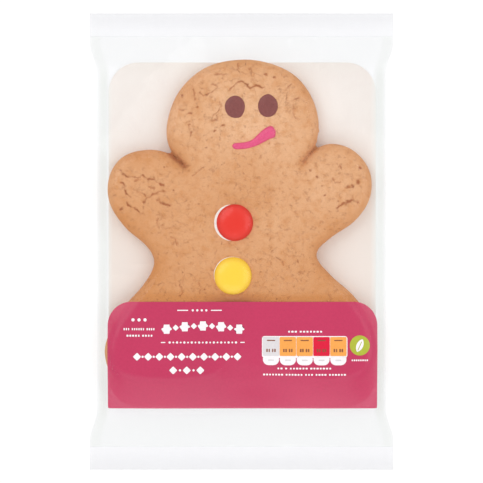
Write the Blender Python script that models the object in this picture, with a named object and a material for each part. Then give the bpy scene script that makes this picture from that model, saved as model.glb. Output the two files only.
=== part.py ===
"""A gingerbread man biscuit sealed flat in a clear film bag.

The bag lies on its back with the shown side up: X runs across it, Y along it from the feet to the head, and
Z up from the surface that it lies on. The origin is the middle of the footprint. The bag is one solid of film,
filling and enclosed air. Its upper face is found as the real one is: film drawn over the biscuit and its two
sugar-shelled sweets, and held at the side folds and in the two end seals.
"""

import math

import bmesh
import bpy
import numpy as np
from mathutils import Vector

MM = 0.001

# The bag, laid flat
BAG_LENGTH = 182.8 * MM
END_WIDTH = 121.6 * MM
BODY_WIDTH = 115.6 * MM
SEAL_DEPTH = 9.6 * MM
WAIST_STARTS = 80.0 * MM
WAIST_ENDS = 67.0 * MM
FOLD_HEIGHT = 3.2 * MM
FOLD_THICKNESS = 0.7 * MM

# The board that the biscuit lies on
CARD_WIDTH = 108.4 * MM
CARD_TOP_Y = 71.8 * MM
CARD_BOTTOM_Y = -66.4 * MM
CARD_CORNER = 9.5 * MM
CARD_UPPER_FACE = 1.0 * MM

# The biscuit's outline in millimetres, anticlockwise as it is seen: one smooth stretch round the head, and one
# round the arms and legs. They meet in a sharp nick at each side of the neck.
NECK_LEFT = (-21.8, 29.4)
NECK_RIGHT = (24.6, 31.6)
HEAD_OUTLINE = (
    NECK_RIGHT,
    (29.2, 38.4),
    (30.7, 47.0),
    (28.3, 56.8),
    (21.9, 65.7),
    (12.2, 70.8),
    (0.5, 72.6),
    (-13.4, 69.8),
    (-24.0, 61.0),
    (-29.3, 49.2),
    (-29.2, 38.8),
    NECK_LEFT,
)
BODY_OUTLINE = (
    NECK_LEFT,
    (-28.8, 34.9),
    (-37.8, 36.5),
    (-47.6, 33.5),
    (-52.9, 25.6),
    (-52.7, 15.6),
    (-46.4, 5.8),
    (-37.8, -2.0),
    (-35.1, -8.4),
    (-38.6, -16.8),
    (-47.0, -26.0),
    (-53.2, -35.6),
    (-54.9, -45.2),
    (-50.2, -54.6),
    (-36.0, -57.8),
    (-19.0, -57.4),
    (-7.0, -54.0),
    (-0.6, -44.0),
    (4.4, -33.6),
    (8.2, -28.8),
    (11.0, -33.6),
    (11.4, -44.0),
    (16.4, -53.6),
    (28.0, -57.6),
    (41.0, -57.4),
    (50.8, -53.0),
    (54.0, -44.4),
    (51.6, -32.6),
    (45.4, -22.2),
    (35.6, -13.2),
    (30.2, -5.4),
    (34.8, 0.8),
    (45.5, 8.5),
    (51.5, 17.6),
    (51.4, 28.0),
    (45.2, 36.1),
    (36.6, 38.9),
    (30.0, 36.9),
    NECK_RIGHT,
)
STEPS_A_SPAN = 8
BISCUIT_EDGE_THICKNESS = 8.4 * MM
SHOULDER_RADIUS = 4.0 * MM
CROWN = 0.8 * MM
CROWN_REACH = 20.0 * MM

# The two sweets pressed into its chest
SWEET_RADIUS = 7.5 * MM
SWEET_HALF_THICKNESS = 3.2 * MM
SWEET_STANDS_PROUD = 2.2 * MM
SWEET_CENTRES = ((-2.7 * MM, 7.4 * MM), (-3.4 * MM, -13.5 * MM))

# How the film hangs, and the grid that it is worked out on
FILM_SAG_CURVATURE = 14.0
FILM_ROUNDS = 2500
CELLS_ACROSS = 50
CELLS_ALONG = 76


def clear_scene():
    """Removes whatever the scene holds."""
    for thing in list(bpy.data.objects):
        bpy.data.objects.remove(thing, do_unlink=True)


def make_material(name, colour, roughness, alpha=1.0):
    """A Principled material of one colour, given as linear red, green and blue."""
    material = bpy.data.materials.new(name)
    material.use_nodes = True
    shader = material.node_tree.nodes["Principled BSDF"]
    shader.inputs["Base Color"].default_value = (*colour, 1.0)
    shader.inputs["Roughness"].default_value = roughness
    shader.inputs["Metallic"].default_value = 0.0
    shader.inputs["Alpha"].default_value = alpha
    return material


def smooth_stretch(points):
    """A smooth curve through the points, in metres, free to leave its first point and reach its last at any
    angle. The last point itself is left to the stretch that follows."""
    knots = [Vector(point) * MM for point in points]
    free = Vector((0.0, 0.0))
    along = [(after - before).normalized() for before, after in zip(knots, knots[2:])]
    headings = [free, *along, free]
    curve = []
    for index, (start, end) in enumerate(zip(knots, knots[1:])):
        reach = (end - start).length
        leaving, arriving = headings[index] * reach, headings[index + 1] * reach
        for step in range(STEPS_A_SPAN):
            t = step / STEPS_A_SPAN
            curve.append(
                start * (2 * t**3 - 3 * t**2 + 1)
                + leaving * (t**3 - 2 * t**2 + t)
                + end * (3 * t**2 - 2 * t**3)
                + arriving * (t**3 - t**2)
            )
    return curve


def depth_inside(xs, ys, outline):
    """How far inside a closed outline each place is, below zero outside it."""
    nearest = np.full(xs.shape, np.inf)
    inside = np.zeros(xs.shape, dtype=bool)
    for (ax, ay), (bx, by) in zip(outline, np.roll(outline, -1, axis=0)):
        run_x, run_y = bx - ax, by - ay
        along = ((xs - ax) * run_x + (ys - ay) * run_y) / (run_x**2 + run_y**2)
        along = np.clip(along, 0.0, 1.0)
        nearest = np.minimum(nearest, np.hypot(xs - ax - along * run_x, ys - ay - along * run_y))
        if ay != by:
            crosses = (ay > ys) != (by > ys)
            inside ^= crosses & (xs < ax + (ys - ay) * run_x / run_y)
    return np.where(inside, nearest, -nearest)


def half_width(y):
    """Half the bag's width at y: its ends lie flat and wide, and the filled body draws it in."""
    share = (abs(y) - WAIST_ENDS) / (WAIST_STARTS - WAIST_ENDS)
    share = min(max(share, 0.0), 1.0)
    ease = share * share * (3.0 - 2.0 * share)
    return (BODY_WIDTH + (END_WIDTH - BODY_WIDTH) * ease) / 2.0


def sheet_places():
    """Where the sheet's points lie in plan, as arrays of x and y with a row for each place along the bag."""
    ys = np.linspace(-BAG_LENGTH / 2.0, BAG_LENGTH / 2.0, CELLS_ALONG + 1)
    shares = np.linspace(-1.0, 1.0, CELLS_ACROSS + 1)
    widths = np.array([half_width(y) for y in ys])
    return np.outer(widths, shares), np.outer(ys, np.ones_like(shares))


def over_card(xs, ys):
    """True over the board, whose corners are round."""
    beyond_x = np.abs(xs) - (CARD_WIDTH / 2.0 - CARD_CORNER)
    middle, half_length = (CARD_TOP_Y + CARD_BOTTOM_Y) / 2.0, (CARD_TOP_Y - CARD_BOTTOM_Y) / 2.0
    beyond_y = np.abs(ys - middle) - (half_length - CARD_CORNER)
    return np.hypot(np.maximum(beyond_x, 0.0), np.maximum(beyond_y, 0.0)) <= CARD_CORNER


def biscuit_top(xs, ys):
    """The height of the biscuit's upper face: round at the shoulders, with a low crown in the middle."""
    outline = np.array(smooth_stretch(HEAD_OUTLINE) + smooth_stretch(BODY_OUTLINE))
    depth = depth_inside(xs, ys, outline)
    shoulder = SHOULDER_RADIUS - np.clip(depth, 0.0, SHOULDER_RADIUS)
    drop = SHOULDER_RADIUS - np.sqrt(SHOULDER_RADIUS**2 - shoulder**2)
    crown = CROWN * np.sin(math.pi / 2.0 * np.clip(depth / CROWN_REACH, 0.0, 1.0))
    return np.where(depth > 0.0, CARD_UPPER_FACE + BISCUIT_EDGE_THICKNESS - drop + crown, 0.0)


def sweet_top(xs, ys, centre):
    """The height of a lentil-shaped sweet's upper face."""
    share = np.hypot(xs - centre[0], ys - centre[1]) / SWEET_RADIUS
    rise = SWEET_HALF_THICKNESS * np.sqrt(np.clip(1.0 - share**2, 0.0, 1.0))
    seat = CARD_UPPER_FACE + BISCUIT_EDGE_THICKNESS + CROWN
    middle = seat + SWEET_STANDS_PROUD - SWEET_HALF_THICKNESS
    return np.where(share < 1.0, middle + rise, 0.0)


def drawn_film(filling, held, held_height, sag):
    """Heights of film drawn over the filling: each free point settles to the mean of its neighbours, less
    the sag, and never below the filling. Points in held stay at held_height."""
    heights = np.where(held, held_height, np.maximum(filling, held_height))
    for _ in range(FILM_ROUNDS):
        mean = heights.copy()
        mean[1:-1, 1:-1] = (
            heights[:-2, 1:-1] + heights[2:, 1:-1] + heights[1:-1, :-2] + heights[1:-1, 2:]
        ) / 4.0
        heights = np.where(held, held_height, np.maximum(mean - sag, filling))
    return heights


def film_heights(xs, ys):
    """The heights of the bag's upper and lower face over the sheet's points."""
    held = np.abs(ys) >= BAG_LENGTH / 2.0 - SEAL_DEPTH
    held[:, [0, -1]] = True
    card = over_card(xs, ys)
    filling = np.maximum(np.where(card, CARD_UPPER_FACE, 0.0), biscuit_top(xs, ys))
    for centre in SWEET_CENTRES:
        filling = np.maximum(filling, sweet_top(xs, ys, centre))
    spacing = BAG_LENGTH / CELLS_ALONG
    sag = FILM_SAG_CURVATURE * spacing**2 / 4.0
    upper = drawn_film(filling, held, FOLD_HEIGHT + FOLD_THICKNESS / 2.0, sag)
    underside = FOLD_HEIGHT - FOLD_THICKNESS / 2.0
    lower = -drawn_film(np.where(card, 0.0, -underside), held, -underside, 0.0)
    return upper, lower


def make_bag(collection):
    """The sealed bag, filled: a sheet given thickness, its two faces then moved to the film's heights."""
    xs, ys = sheet_places()
    upper, lower = film_heights(xs, ys)
    body = bmesh.new()
    bmesh.ops.create_grid(body, x_segments=CELLS_ACROSS, y_segments=CELLS_ALONG, size=1.0)
    sheet = list(body.verts)
    extruded = bmesh.ops.extrude_face_region(body, geom=list(body.faces))["geom"]
    raised = [part for part in extruded if isinstance(part, bmesh.types.BMVert)]
    for verts, heights in ((sheet, lower), (raised, upper)):
        for vert in verts:
            column = round((vert.co.x + 1.0) / 2.0 * CELLS_ACROSS)
            row = round((vert.co.y + 1.0) / 2.0 * CELLS_ALONG)
            vert.co = (xs[row, column], ys[row, column], heights[row, column])
    bmesh.ops.recalc_face_normals(body, faces=body.faces)
    level = math.radians(0.01)
    bmesh.ops.dissolve_limit(body, angle_limit=level, verts=body.verts, edges=body.edges)
    mesh = bpy.data.meshes.new("sealed_bag")
    body.to_mesh(mesh)
    body.free()
    mesh.materials.append(make_material("clear_film", (0.90, 0.90, 0.92), 0.12, alpha=0.35))
    mesh.shade_smooth()
    mesh.set_sharp_from_angle(angle=math.radians(40.0))
    bag = bpy.data.objects.new("sealed_bag", mesh)
    collection.objects.link(bag)
    return bag


def main():
    """Builds the pack in a collection of its own."""
    clear_scene()
    pack = bpy.data.collections.new("gingerbread_man_in_clear_bag")
    bpy.context.scene.collection.children.link(pack)
    make_bag(pack)


main()
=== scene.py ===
"""Looks of the gingerbread man biscuit in its clear film bag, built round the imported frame.

The one CAD solid, sealed_bag, is replaced by what it stands for: the drawn film and its crimped end seals,
the board, the biscuit with its iced face and two sugar-shelled sweets, and the pink panel printed on the
film. Places are in metres in the frame's own axes: X across the bag, Y from the feet to the head, Z up out
of the shown side. Outlines are kept in millimetres and turned to metres where they are used.
"""

import logging
import math
import random
from collections.abc import Callable, Iterator, Sequence
from contextlib import contextmanager
from dataclasses import dataclass, field, replace
from enum import Enum

import bpy
import numpy as np
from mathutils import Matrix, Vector, noise
from mathutils.bvhtree import BVHTree


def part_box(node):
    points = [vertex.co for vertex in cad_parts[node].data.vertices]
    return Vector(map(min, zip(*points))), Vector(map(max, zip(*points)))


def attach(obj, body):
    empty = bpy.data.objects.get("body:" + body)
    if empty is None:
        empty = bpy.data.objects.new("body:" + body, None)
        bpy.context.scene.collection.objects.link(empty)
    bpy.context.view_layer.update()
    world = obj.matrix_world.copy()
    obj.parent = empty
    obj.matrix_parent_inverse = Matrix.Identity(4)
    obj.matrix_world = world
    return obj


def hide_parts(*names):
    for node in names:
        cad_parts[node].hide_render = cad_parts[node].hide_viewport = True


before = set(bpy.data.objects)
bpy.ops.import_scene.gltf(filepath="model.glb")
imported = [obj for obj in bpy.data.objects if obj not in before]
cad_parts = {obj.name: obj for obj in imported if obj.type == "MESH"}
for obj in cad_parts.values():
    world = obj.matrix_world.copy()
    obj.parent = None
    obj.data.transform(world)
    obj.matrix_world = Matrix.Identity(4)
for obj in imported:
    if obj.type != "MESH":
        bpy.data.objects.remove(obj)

log = logging.getLogger("gingerbread_pack")

MM = 0.001
BAG_NODE = "sealed_bag"
Places = np.ndarray
Point = tuple[float, float]
Colour = tuple[float, float, float, float]
Piece = bpy.types.Object
Tree = bpy.types.NodeTree
Socket = bpy.types.NodeSocket

# Numbers of the Mix node's sockets when it mixes colours
FACTOR, FIRST_COLOUR, SECOND_COLOUR, MIXED_COLOUR = 0, 6, 7, 2


# Tools of the workshop


def linear_colour(code: str) -> Colour:
    """Turns an sRGB hex colour into the linear one that shaders take.

    Args:
        code: the colour as "#RRGGBB".

    Returns:
        Linear red, green and blue, and an alpha of 1.
    """
    shares = [int(code[place : place + 2], 16) / 255.0 for place in (1, 3, 5)]
    red, green, blue = (
        share / 12.92 if share <= 0.04045 else ((share + 0.055) / 1.055) ** 2.4 for share in shares
    )
    return (red, green, blue, 1.0)


def add_node(
    tree: Tree, kind: str, inputs: dict[str | int, object], give: str | int = 0, **settings: object
) -> Socket | None:
    """Adds one shader node, sets it and joins it to what feeds it.

    Args:
        tree: the node tree of a material or of the world.
        kind: the node's type, without the "ShaderNode" that all of them start with.
        inputs: for each input, by name or number, a value or the output socket that feeds it.
        give: the name or number of the output that is wanted.
        **settings: the node's own properties by name.

    Returns:
        The wanted output, or None for a node that has none.
    """
    node = tree.nodes.new("ShaderNode" + kind)
    for name, value in settings.items():
        setattr(node, name, value)
    for name, value in inputs.items():
        if isinstance(value, Socket):
            tree.links.new(value, node.inputs[name])
        else:
            node.inputs[name].default_value = value
    return node.outputs[give] if len(node.outputs) else None


def add_piece(name: str, add: Callable[..., set[str]], **settings: object) -> Piece:
    """Adds an object while nothing is selected, and names it and its data.

    Args:
        name: the new name.
        add: the operator that adds it.
        **settings: the operator's own settings.

    Returns:
        The new object, which is the active one.
    """
    bpy.ops.object.select_all(action="DESELECT")
    add(**settings)
    piece = bpy.context.active_object
    piece.name = piece.data.name = name
    return piece


def make_active(piece: Piece) -> None:
    """Selects one object alone and makes it the active one.

    Args:
        piece: the object.
    """
    bpy.ops.object.select_all(action="DESELECT")
    piece.select_set(True)
    bpy.context.view_layer.objects.active = piece


@contextmanager
def edit_mode(piece: Piece, whole: bool = True) -> Iterator[None]:
    """Holds one mesh in edit mode for the operators inside the block.

    Args:
        piece: the mesh object.
        whole: True to select all of it, False to keep the selection that it has.
    """
    make_active(piece)
    bpy.ops.object.mode_set(mode="EDIT")
    if whole:
        bpy.ops.mesh.select_all(action="SELECT")
    yield
    bpy.ops.object.mode_set(mode="OBJECT")


def apply_modifier(piece: Piece, kind: str, **settings: object) -> None:
    """Adds a modifier to a piece and applies it at once.

    Args:
        piece: the mesh object.
        kind: the modifier's type.
        **settings: its properties by name.
    """
    make_active(piece)
    modifier = piece.modifiers.new(kind.title(), kind)
    for name, value in settings.items():
        setattr(modifier, name, value)
    bpy.ops.object.modifier_apply(modifier=modifier.name)


def settle_in_mesh(piece: Piece) -> None:
    """Moves a piece's place, turn and scale into its mesh."""
    make_active(piece)
    bpy.ops.object.transform_apply(location=True, rotation=True, scale=True)


def double_up(sheet: Piece, height: float) -> None:
    """Raises a flat sheet into a closed solid.

    Args:
        sheet: the sheet.
        height: how high the solid is.
    """
    with edit_mode(sheet):
        bpy.ops.mesh.extrude_region()
        bpy.ops.transform.translate(value=(0.0, 0.0, height))
    turn_outward(sheet)


def turn_outward(piece: Piece, merged: float = 0.0) -> None:
    """Turns the faces of a piece outward.

    Args:
        piece: the mesh object.
        merged: points that are nearer to each other than this are merged first.
    """
    with edit_mode(piece):
        if merged > 0.0:
            bpy.ops.mesh.remove_doubles(threshold=merged)
        bpy.ops.mesh.normals_make_consistent(inside=False)


def read_rows(parts: bpy.types.bpy_prop_collection, what: str) -> Places:
    """Reads one vector of each vertex or face.

    Args:
        parts: a mesh's vertices or faces.
        what: the vector's name.

    Returns:
        Rows of x, y and z.
    """
    values = np.empty(len(parts) * 3)
    parts.foreach_get(what, values)
    return values.reshape(-1, 3)


def read_points(piece: Piece) -> Places:
    """The piece's vertices as rows of x, y and z."""
    return read_rows(piece.data.vertices, "co")


def write_points(piece: Piece, points: Places) -> None:
    """Moves the piece's vertices to new places."""
    piece.data.vertices.foreach_set("co", np.ascontiguousarray(points, dtype=np.float32).ravel())
    piece.data.update()


def write_shares(piece: Piece, name: str, shares: Places) -> None:
    """Stores a number from 0 to 1 for each vertex, under a name that the materials read."""
    attribute = piece.data.attributes.new(name, "FLOAT", "POINT")
    attribute.data.foreach_set("value", np.clip(shares, 0.0, 1.0).astype(np.float32))


def choose_faces(piece: Piece, chosen: Sequence[bool] | Places) -> None:
    """Selects some faces of a piece and nothing else of it, ready for edit mode.

    Args:
        piece: the mesh object.
        chosen: True for each face that is wanted.
    """
    for parts in (piece.data.vertices, piece.data.edges):
        parts.foreach_set("select", np.zeros(len(parts), dtype=bool))
    piece.data.polygons.foreach_set("select", np.asarray(chosen, dtype=bool))


def ease(start: float, end: float, values: Places) -> Places:
    """A smooth step from 0 at start to 1 at end."""
    shares = np.clip((values - start) / (end - start), 0.0, 1.0)
    return shares * shares * (3.0 - 2.0 * shares)


def bell(values: Places) -> Places:
    """A smooth bump: 1 at 0, about a third at 1, and next to nothing past 2."""
    return np.exp(-(values**2))


def lumps(points: Places, size: float, seed: float) -> Places:
    """Smooth noise of about -1 to 1 for each point, in lumps of one width that the seed moves about."""
    offset = Vector((seed, seed * 1.7, seed * 0.6))
    return np.array([noise.noise(Vector(point) / size + offset) for point in points])


def surface_tree(*pieces: Piece) -> BVHTree:
    """Sorts the faces of one or more meshes for rays.

    Args:
        *pieces: the mesh objects.

    Returns:
        A search tree over all their faces.
    """
    vertices: list[Vector] = []
    faces: list[list[int]] = []
    for piece in pieces:
        start = len(vertices)
        vertices.extend(vertex.co.copy() for vertex in piece.data.vertices)
        faces.extend([start + index for index in face.vertices] for face in piece.data.polygons)
    return BVHTree.FromPolygons(vertices, faces)


def heights_under(tree: BVHTree, xs: Places, ys: Places, nothing: float, upward: bool = False) -> Places:
    """Finds where vertical rays first meet a surface.

    Args:
        tree: the surface.
        xs: the rays' x places.
        ys: the rays' y places.
        nothing: the height given where a ray meets nothing.
        upward: True for rays from below, False for rays from above.

    Returns:
        A height for each ray, in the shape of xs.
    """
    start, heading = (-0.1, Vector((0.0, 0.0, 1.0))) if upward else (0.1, Vector((0.0, 0.0, -1.0)))
    met = (tree.ray_cast(Vector((x, y, start)), heading)[0] for x, y in zip(xs.ravel(), ys.ravel()))
    return np.array([nothing if place is None else place.z for place in met]).reshape(xs.shape)


# Finishes


@dataclass(frozen=True)
class Finish:
    """What a piece is made of and how its surface was made."""

    name: str

    def surface(self, tree: Tree, place: Socket) -> Socket:
        """Builds the finish over the Object coordinates, and gives the shader that it ends in."""
        raise NotImplementedError

    def material(self) -> bpy.types.Material:
        """Makes a material of the finish.

        Returns:
            The new material.
        """
        material = bpy.data.materials.new(self.name)
        material.use_nodes = True
        tree = material.node_tree
        tree.nodes.clear()
        place = add_node(tree, "TexCoord", {}, "Object")
        add_node(tree, "OutputMaterial", {"Surface": self.surface(tree, place)})
        return material


@dataclass(frozen=True)
class ClearFilm(Finish):
    """Cast polypropylene film, clear and glossy, about 0.03 mm thick."""

    name: str = "clear_polypropylene_film"
    # Each pass takes a little light, so that two layers over white read as a faint cool grey
    tint: str = "#FEFEFF"
    # Where the film has creases at the side folds it takes more light, and there this darker tint is partly
    # painted shade; the open ends take some of it too
    crease_and_shade_tint: str = "#F8F9F8"
    # Facing the eye it mirrors little, and edge on, like any film of IOR 1.5, it mirrors most of the room
    facing_gloss: float = 0.02
    grazing_gloss: float = 0.6
    grazing_power: float = 3.8
    # Film is drawn smooth between rolls: the mirror image of the lamps is sharp
    roughness: float = 0.09
    # Slip agents bloom to the surface and leave a trace of milk
    bloom: str = "#F4F4F6"
    milk: float = 0.006
    ripple_size: float = 9.0 * MM
    ripple_height: float = 0.05 * MM

    def surface(self, tree: Tree, place: Socket) -> Socket:
        """Lays the mirror image of the room over the clear body, which a trace of milk clouds.

        Args:
            tree: the material's nodes.
            place: the Object coordinates.

        Returns:
            The finished shader.
        """
        ripple = add_node(
            tree, "TexNoise",
            {"Vector": place, "Scale": 1.0 / self.ripple_size, "Detail": 2.0, "Roughness": 0.4},
        )
        rippled = add_node(
            tree, "Bump", {"Height": ripple, "Distance": self.ripple_height, "Strength": 1.0}
        )
        # This share darkens the film's tint: at the side folds it is partly creases and partly painted shade,
        # and toward the open ends it is a darker tint
        tints = {FIRST_COLOUR: linear_colour(self.tint), SECOND_COLOUR: linear_colour(self.crease_and_shade_tint)}
        crease_and_shade = add_node(tree, "Attribute", {}, "Fac", attribute_name="crease_and_shade")
        tint = add_node(tree, "Mix", {FACTOR: crease_and_shade, **tints}, MIXED_COLOUR, data_type="RGBA")
        clear = add_node(tree, "BsdfTransparent", {"Color": tint})
        milk = add_node(tree, "BsdfDiffuse", {"Color": linear_colour(self.bloom)})
        body = add_node(tree, "MixShader", {0: self.milk, 1: clear, 2: milk})
        gloss = add_node(tree, "BsdfGlossy", {"Roughness": self.roughness, "Normal": rippled})
        facing = add_node(tree, "LayerWeight", {"Blend": 0.5, "Normal": rippled}, "Facing")
        grazing = add_node(tree, "Math", {0: facing, 1: self.grazing_power}, operation="POWER")
        share = add_node(
            tree, "Math", {0: grazing, 1: self.grazing_gloss, 2: self.facing_gloss},
            operation="MULTIPLY_ADD", use_clamp=True,
        )
        return add_node(tree, "MixShader", {0: share, 1: body, 2: gloss})


@dataclass(frozen=True)
class CrimpedFilm(ClearFilm):
    """The same film where hot jaws have pressed its layers into one."""

    name: str = "heat_sealed_film"
    tint: str = "#FDFDFE"
    crease_and_shade_tint: str = "#F8F8F9"
    # The jaws leave the surface slightly frosted
    roughness: float = 0.22
    milk: float = 0.03
    ripple_size: float = 4.0 * MM


@dataclass(frozen=True)
class PrintInk(Finish):
    """Flexographic ink on film: even, glossy, and not quite opaque."""

    colour: str
    # A lay-down of ink lets a little of what lies behind it through
    opacity: float = 1.0
    # Ink on film is under a clear lacquer of IOR 1.48, so it shines softly
    ior: float = 1.48
    roughness: float = 0.28
    shine: float = 0.35
    # Anilox cells leave a faint unevenness, drawn at 0.9 mm so that it shows at all
    cell: float = 0.9 * MM
    drift: float = 24.0 * MM
    # How far the lay-down may lighten or darken
    unevenness: float = 0.05

    def surface(self, tree: Tree, place: Socket) -> Socket:
        """Lays the ink down a little unevenly, in fine cells and in wide drifts.

        Args:
            tree: the material's nodes.
            place: the Object coordinates.

        Returns:
            The finished shader.
        """
        cells, drifts = (
            add_node(
                tree, "TexNoise",
                {"Vector": place, "Scale": 1.0 / size, "Detail": 2.0, "Roughness": roughness},
            )
            for size, roughness in ((self.cell, 0.6), (self.drift, 0.5))
        )
        both = add_node(tree, "Math", {0: cells, 1: drifts}, operation="ADD")
        limits = {"To Min": 1.0 - self.unevenness, "To Max": 1.0 + self.unevenness}
        lightness = add_node(tree, "MapRange", {"Value": both, "From Min": 0.7, "From Max": 1.3, **limits})
        ink = add_node(tree, "HueSaturation", {"Color": linear_colour(self.colour), "Value": lightness})
        look = {"Roughness": self.roughness, "IOR": self.ior, "Specular IOR Level": self.shine}
        return add_node(tree, "BsdfPrincipled", {"Base Color": ink, "Alpha": self.opacity, **look})


@dataclass(frozen=True)
class CreamBoard(Finish):
    """Uncoated folding boxboard in cream: matt, with a faint fibre."""

    name: str = "uncoated_cream_board"
    colour: str = "#F0EAE3"
    shade: str = "#EAE1DA"
    # Light that the dough throws back warms the board beside the body
    warmed: str = "#EBE1D8"
    warmed_from: float = 48.0 * MM
    warmed_to: float = 2.0 * MM
    # The trimmed sides have lost a little of the cream
    trimmed: str = "#F0EEEA"
    half_width: float = 53.9 * MM
    trimmed_reach: float = 2.2 * MM
    # Bare fibre, with the IOR of cellulose, scatters light all ways and has no gloss to speak of
    ior: float = 1.45
    roughness: float = 0.92
    fibre_length: float = 2.4 * MM
    fibre_width: float = 0.5 * MM
    fibre_height: float = 0.03 * MM
    cloud: float = 15.0 * MM

    def surface(self, tree: Tree, place: Socket) -> Socket:
        """Clouds the board with its fibre, then warms its lower half and pales its trimmed sides.

        Args:
            tree: the material's nodes.
            place: the Object coordinates.

        Returns:
            The finished shader.
        """
        across, along = 1.0 / self.fibre_width, 1.0 / self.fibre_length
        drawn = add_node(tree, "Mapping", {"Vector": place, "Scale": (across, along, across)})
        fibre = add_node(tree, "TexNoise", {"Vector": drawn, "Scale": 1.0, "Detail": 4.0, "Roughness": 0.65})
        cloud = add_node(
            tree, "TexNoise", {"Vector": place, "Scale": 1.0 / self.cloud, "Detail": 3.0, "Roughness": 0.55}
        )
        apart = add_node(tree, "SeparateXYZ", {0: place}, "X")
        aside = add_node(tree, "Math", {0: apart}, operation="ABSOLUTE")
        board = linear_colour(self.colour)
        for value, start, end, colour in (
            (add_node(tree, "Math", {0: fibre, 1: cloud}, operation="MULTIPLY"), 0.12, 0.42, self.shade),
            (apart.node.outputs["Y"], self.warmed_from, self.warmed_to, self.warmed),
            (aside, self.half_width - self.trimmed_reach, self.half_width, self.trimmed),
        ):
            share = add_node(tree, "MapRange", {"Value": value, "From Min": start, "From Max": end})
            colours = {FIRST_COLOUR: board, SECOND_COLOUR: linear_colour(colour)}
            board = add_node(tree, "Mix", {FACTOR: share, **colours}, MIXED_COLOUR, data_type="RGBA")
        rough = add_node(tree, "Bump", {"Height": fibre, "Distance": self.fibre_height, "Strength": 1.0})
        look = {"Roughness": self.roughness, "IOR": self.ior, "Normal": rough}
        return add_node(tree, "BsdfPrincipled", {"Base Color": board, **look})


@dataclass(frozen=True)
class BakedDough(Finish):
    """Short gingerbread dough, rolled, cut and baked: dry, matt, crackled and browner at the rim."""

    name: str = "baked_gingerbread"
    pale: str = "#EABA90"
    brown: str = "#CC884C"
    crack: str = "#A35D33"
    # A dry crumb scatters light with hardly any gloss, though its sugar and fat have an IOR of about 1.4
    ior: float = 1.4
    roughness: float = 0.82
    crumb: float = 0.55 * MM
    mottle: float = 3.2 * MM
    cloud: float = 21.0 * MM
    # Cells of the fine crazing that the crust has in patches, how far they wander, and how it breaks off
    crazing: float = 4.2 * MM
    wander: float = 2.6 * MM
    break_off: float = 3.4 * MM
    pock: float = 1.7 * MM
    pinhole_spacing: float = 3.1 * MM

    def surface(self, tree: Tree, place: Socket) -> Socket:
        """Browns, crazes and pits the dough.

        Args:
            tree: the material's nodes.
            place: the Object coordinates.

        Returns:
            The finished shader.
        """
        cloud, mottle, crumb, unbroken, wander = (
            add_node(
                tree, "TexNoise",
                {"Vector": place, "Scale": 1.0 / size, "Detail": detail, "Roughness": roughness}, give,
            )
            for size, detail, roughness, give in (
                (self.cloud, 3.0, 0.55, "Fac"), (self.mottle, 5.0, 0.62, "Fac"),
                (self.crumb, 3.0, 0.65, "Fac"), (self.break_off, 3.0, 0.6, "Fac"),
                (self.wander, 3.0, 0.6, "Color"),
            )
        )
        bent = add_node(
            tree, "VectorMath", {0: wander, 1: (self.wander,) * 3, 2: place}, operation="MULTIPLY_ADD"
        )
        cell_edge, spot = (
            add_node(tree, "TexVoronoi", {"Vector": bent, "Scale": 1.0 / size}, "Distance", feature=feature)
            for size, feature in ((self.crazing, "DISTANCE_TO_EDGE"), (self.pinhole_spacing, "F1"))
        )
        lot = add_node(tree, "SeparateColor", {0: spot.node.outputs["Color"]})
        pock = add_node(
            tree, "TexNoise", {"Vector": bent, "Scale": 1.0 / self.pock, "Detail": 4.0, "Roughness": 0.62}
        )
        baked, crazed, cracked = (
            add_node(tree, "Attribute", {}, "Fac", attribute_name=name)
            for name in ("baked", "crazed", "cracked")
        )
        drift = add_node(tree, "Math", {0: cloud, 1: 0.7, 2: baked}, operation="MULTIPLY_ADD")
        line, unbroken, hole, rare, pocks, browned, mottled, crumbed = (
            add_node(tree, "MapRange", {"Value": value, "From Min": start, "From Max": end})
            for value, start, end in (
                (cell_edge, 0.085, 0.015), (unbroken, 0.44, 0.56), (spot, 0.17, 0.07), (lot, 0.62, 0.72),
                (pock, 0.57, 0.7), (drift, 0.35, 1.35), (mottle, 0.47, 0.7), (crumb, 0.52, 0.72),
            )
        )
        crazing = add_node(tree, "Math", {0: line, 1: crazed}, operation="MULTIPLY")
        crazing = add_node(tree, "Math", {0: crazing, 1: unbroken}, operation="MULTIPLY")
        pinholes = add_node(tree, "Math", {0: hole, 1: rare}, operation="MULTIPLY")
        tone: object = linear_colour(self.pale)
        # The cracked share also holds painted shade: the neck creases, the band along the panel's edge and
        # the patch under the lower sweet all take the crack colour
        for value, strength, colour in (
            (browned, 1.0, self.brown), (mottled, 0.55, self.brown), (crumbed, 0.35, self.brown),
            (pocks, 0.34, self.crack), (crazing, 0.4, self.crack), (pinholes, 0.45, self.crack),
            (cracked, 0.9, self.crack),
        ):
            share = add_node(tree, "Math", {0: value, 1: strength}, operation="MULTIPLY")
            tones = {FIRST_COLOUR: tone, SECOND_COLOUR: linear_colour(colour)}
            tone = add_node(tree, "Mix", {FACTOR: share, **tones}, MIXED_COLOUR, data_type="RGBA")
        dents = add_node(tree, "Math", {0: crazing, 1: pinholes}, operation="MAXIMUM")
        relief: dict[str, Socket] = {}
        for height, rise, sunken in (
            (crumb, 0.13 * MM, False), (mottle, 0.28 * MM, False), (pocks, 0.12 * MM, True),
            (dents, 0.16 * MM, True),
        ):
            bump = {"Height": height, "Distance": rise, "Strength": 1.0, **relief}
            relief = {"Normal": add_node(tree, "Bump", bump, invert=sunken)}
        look = {"Roughness": self.roughness, "IOR": self.ior, **relief}
        return add_node(tree, "BsdfPrincipled", {"Base Color": tone, **look})


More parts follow.
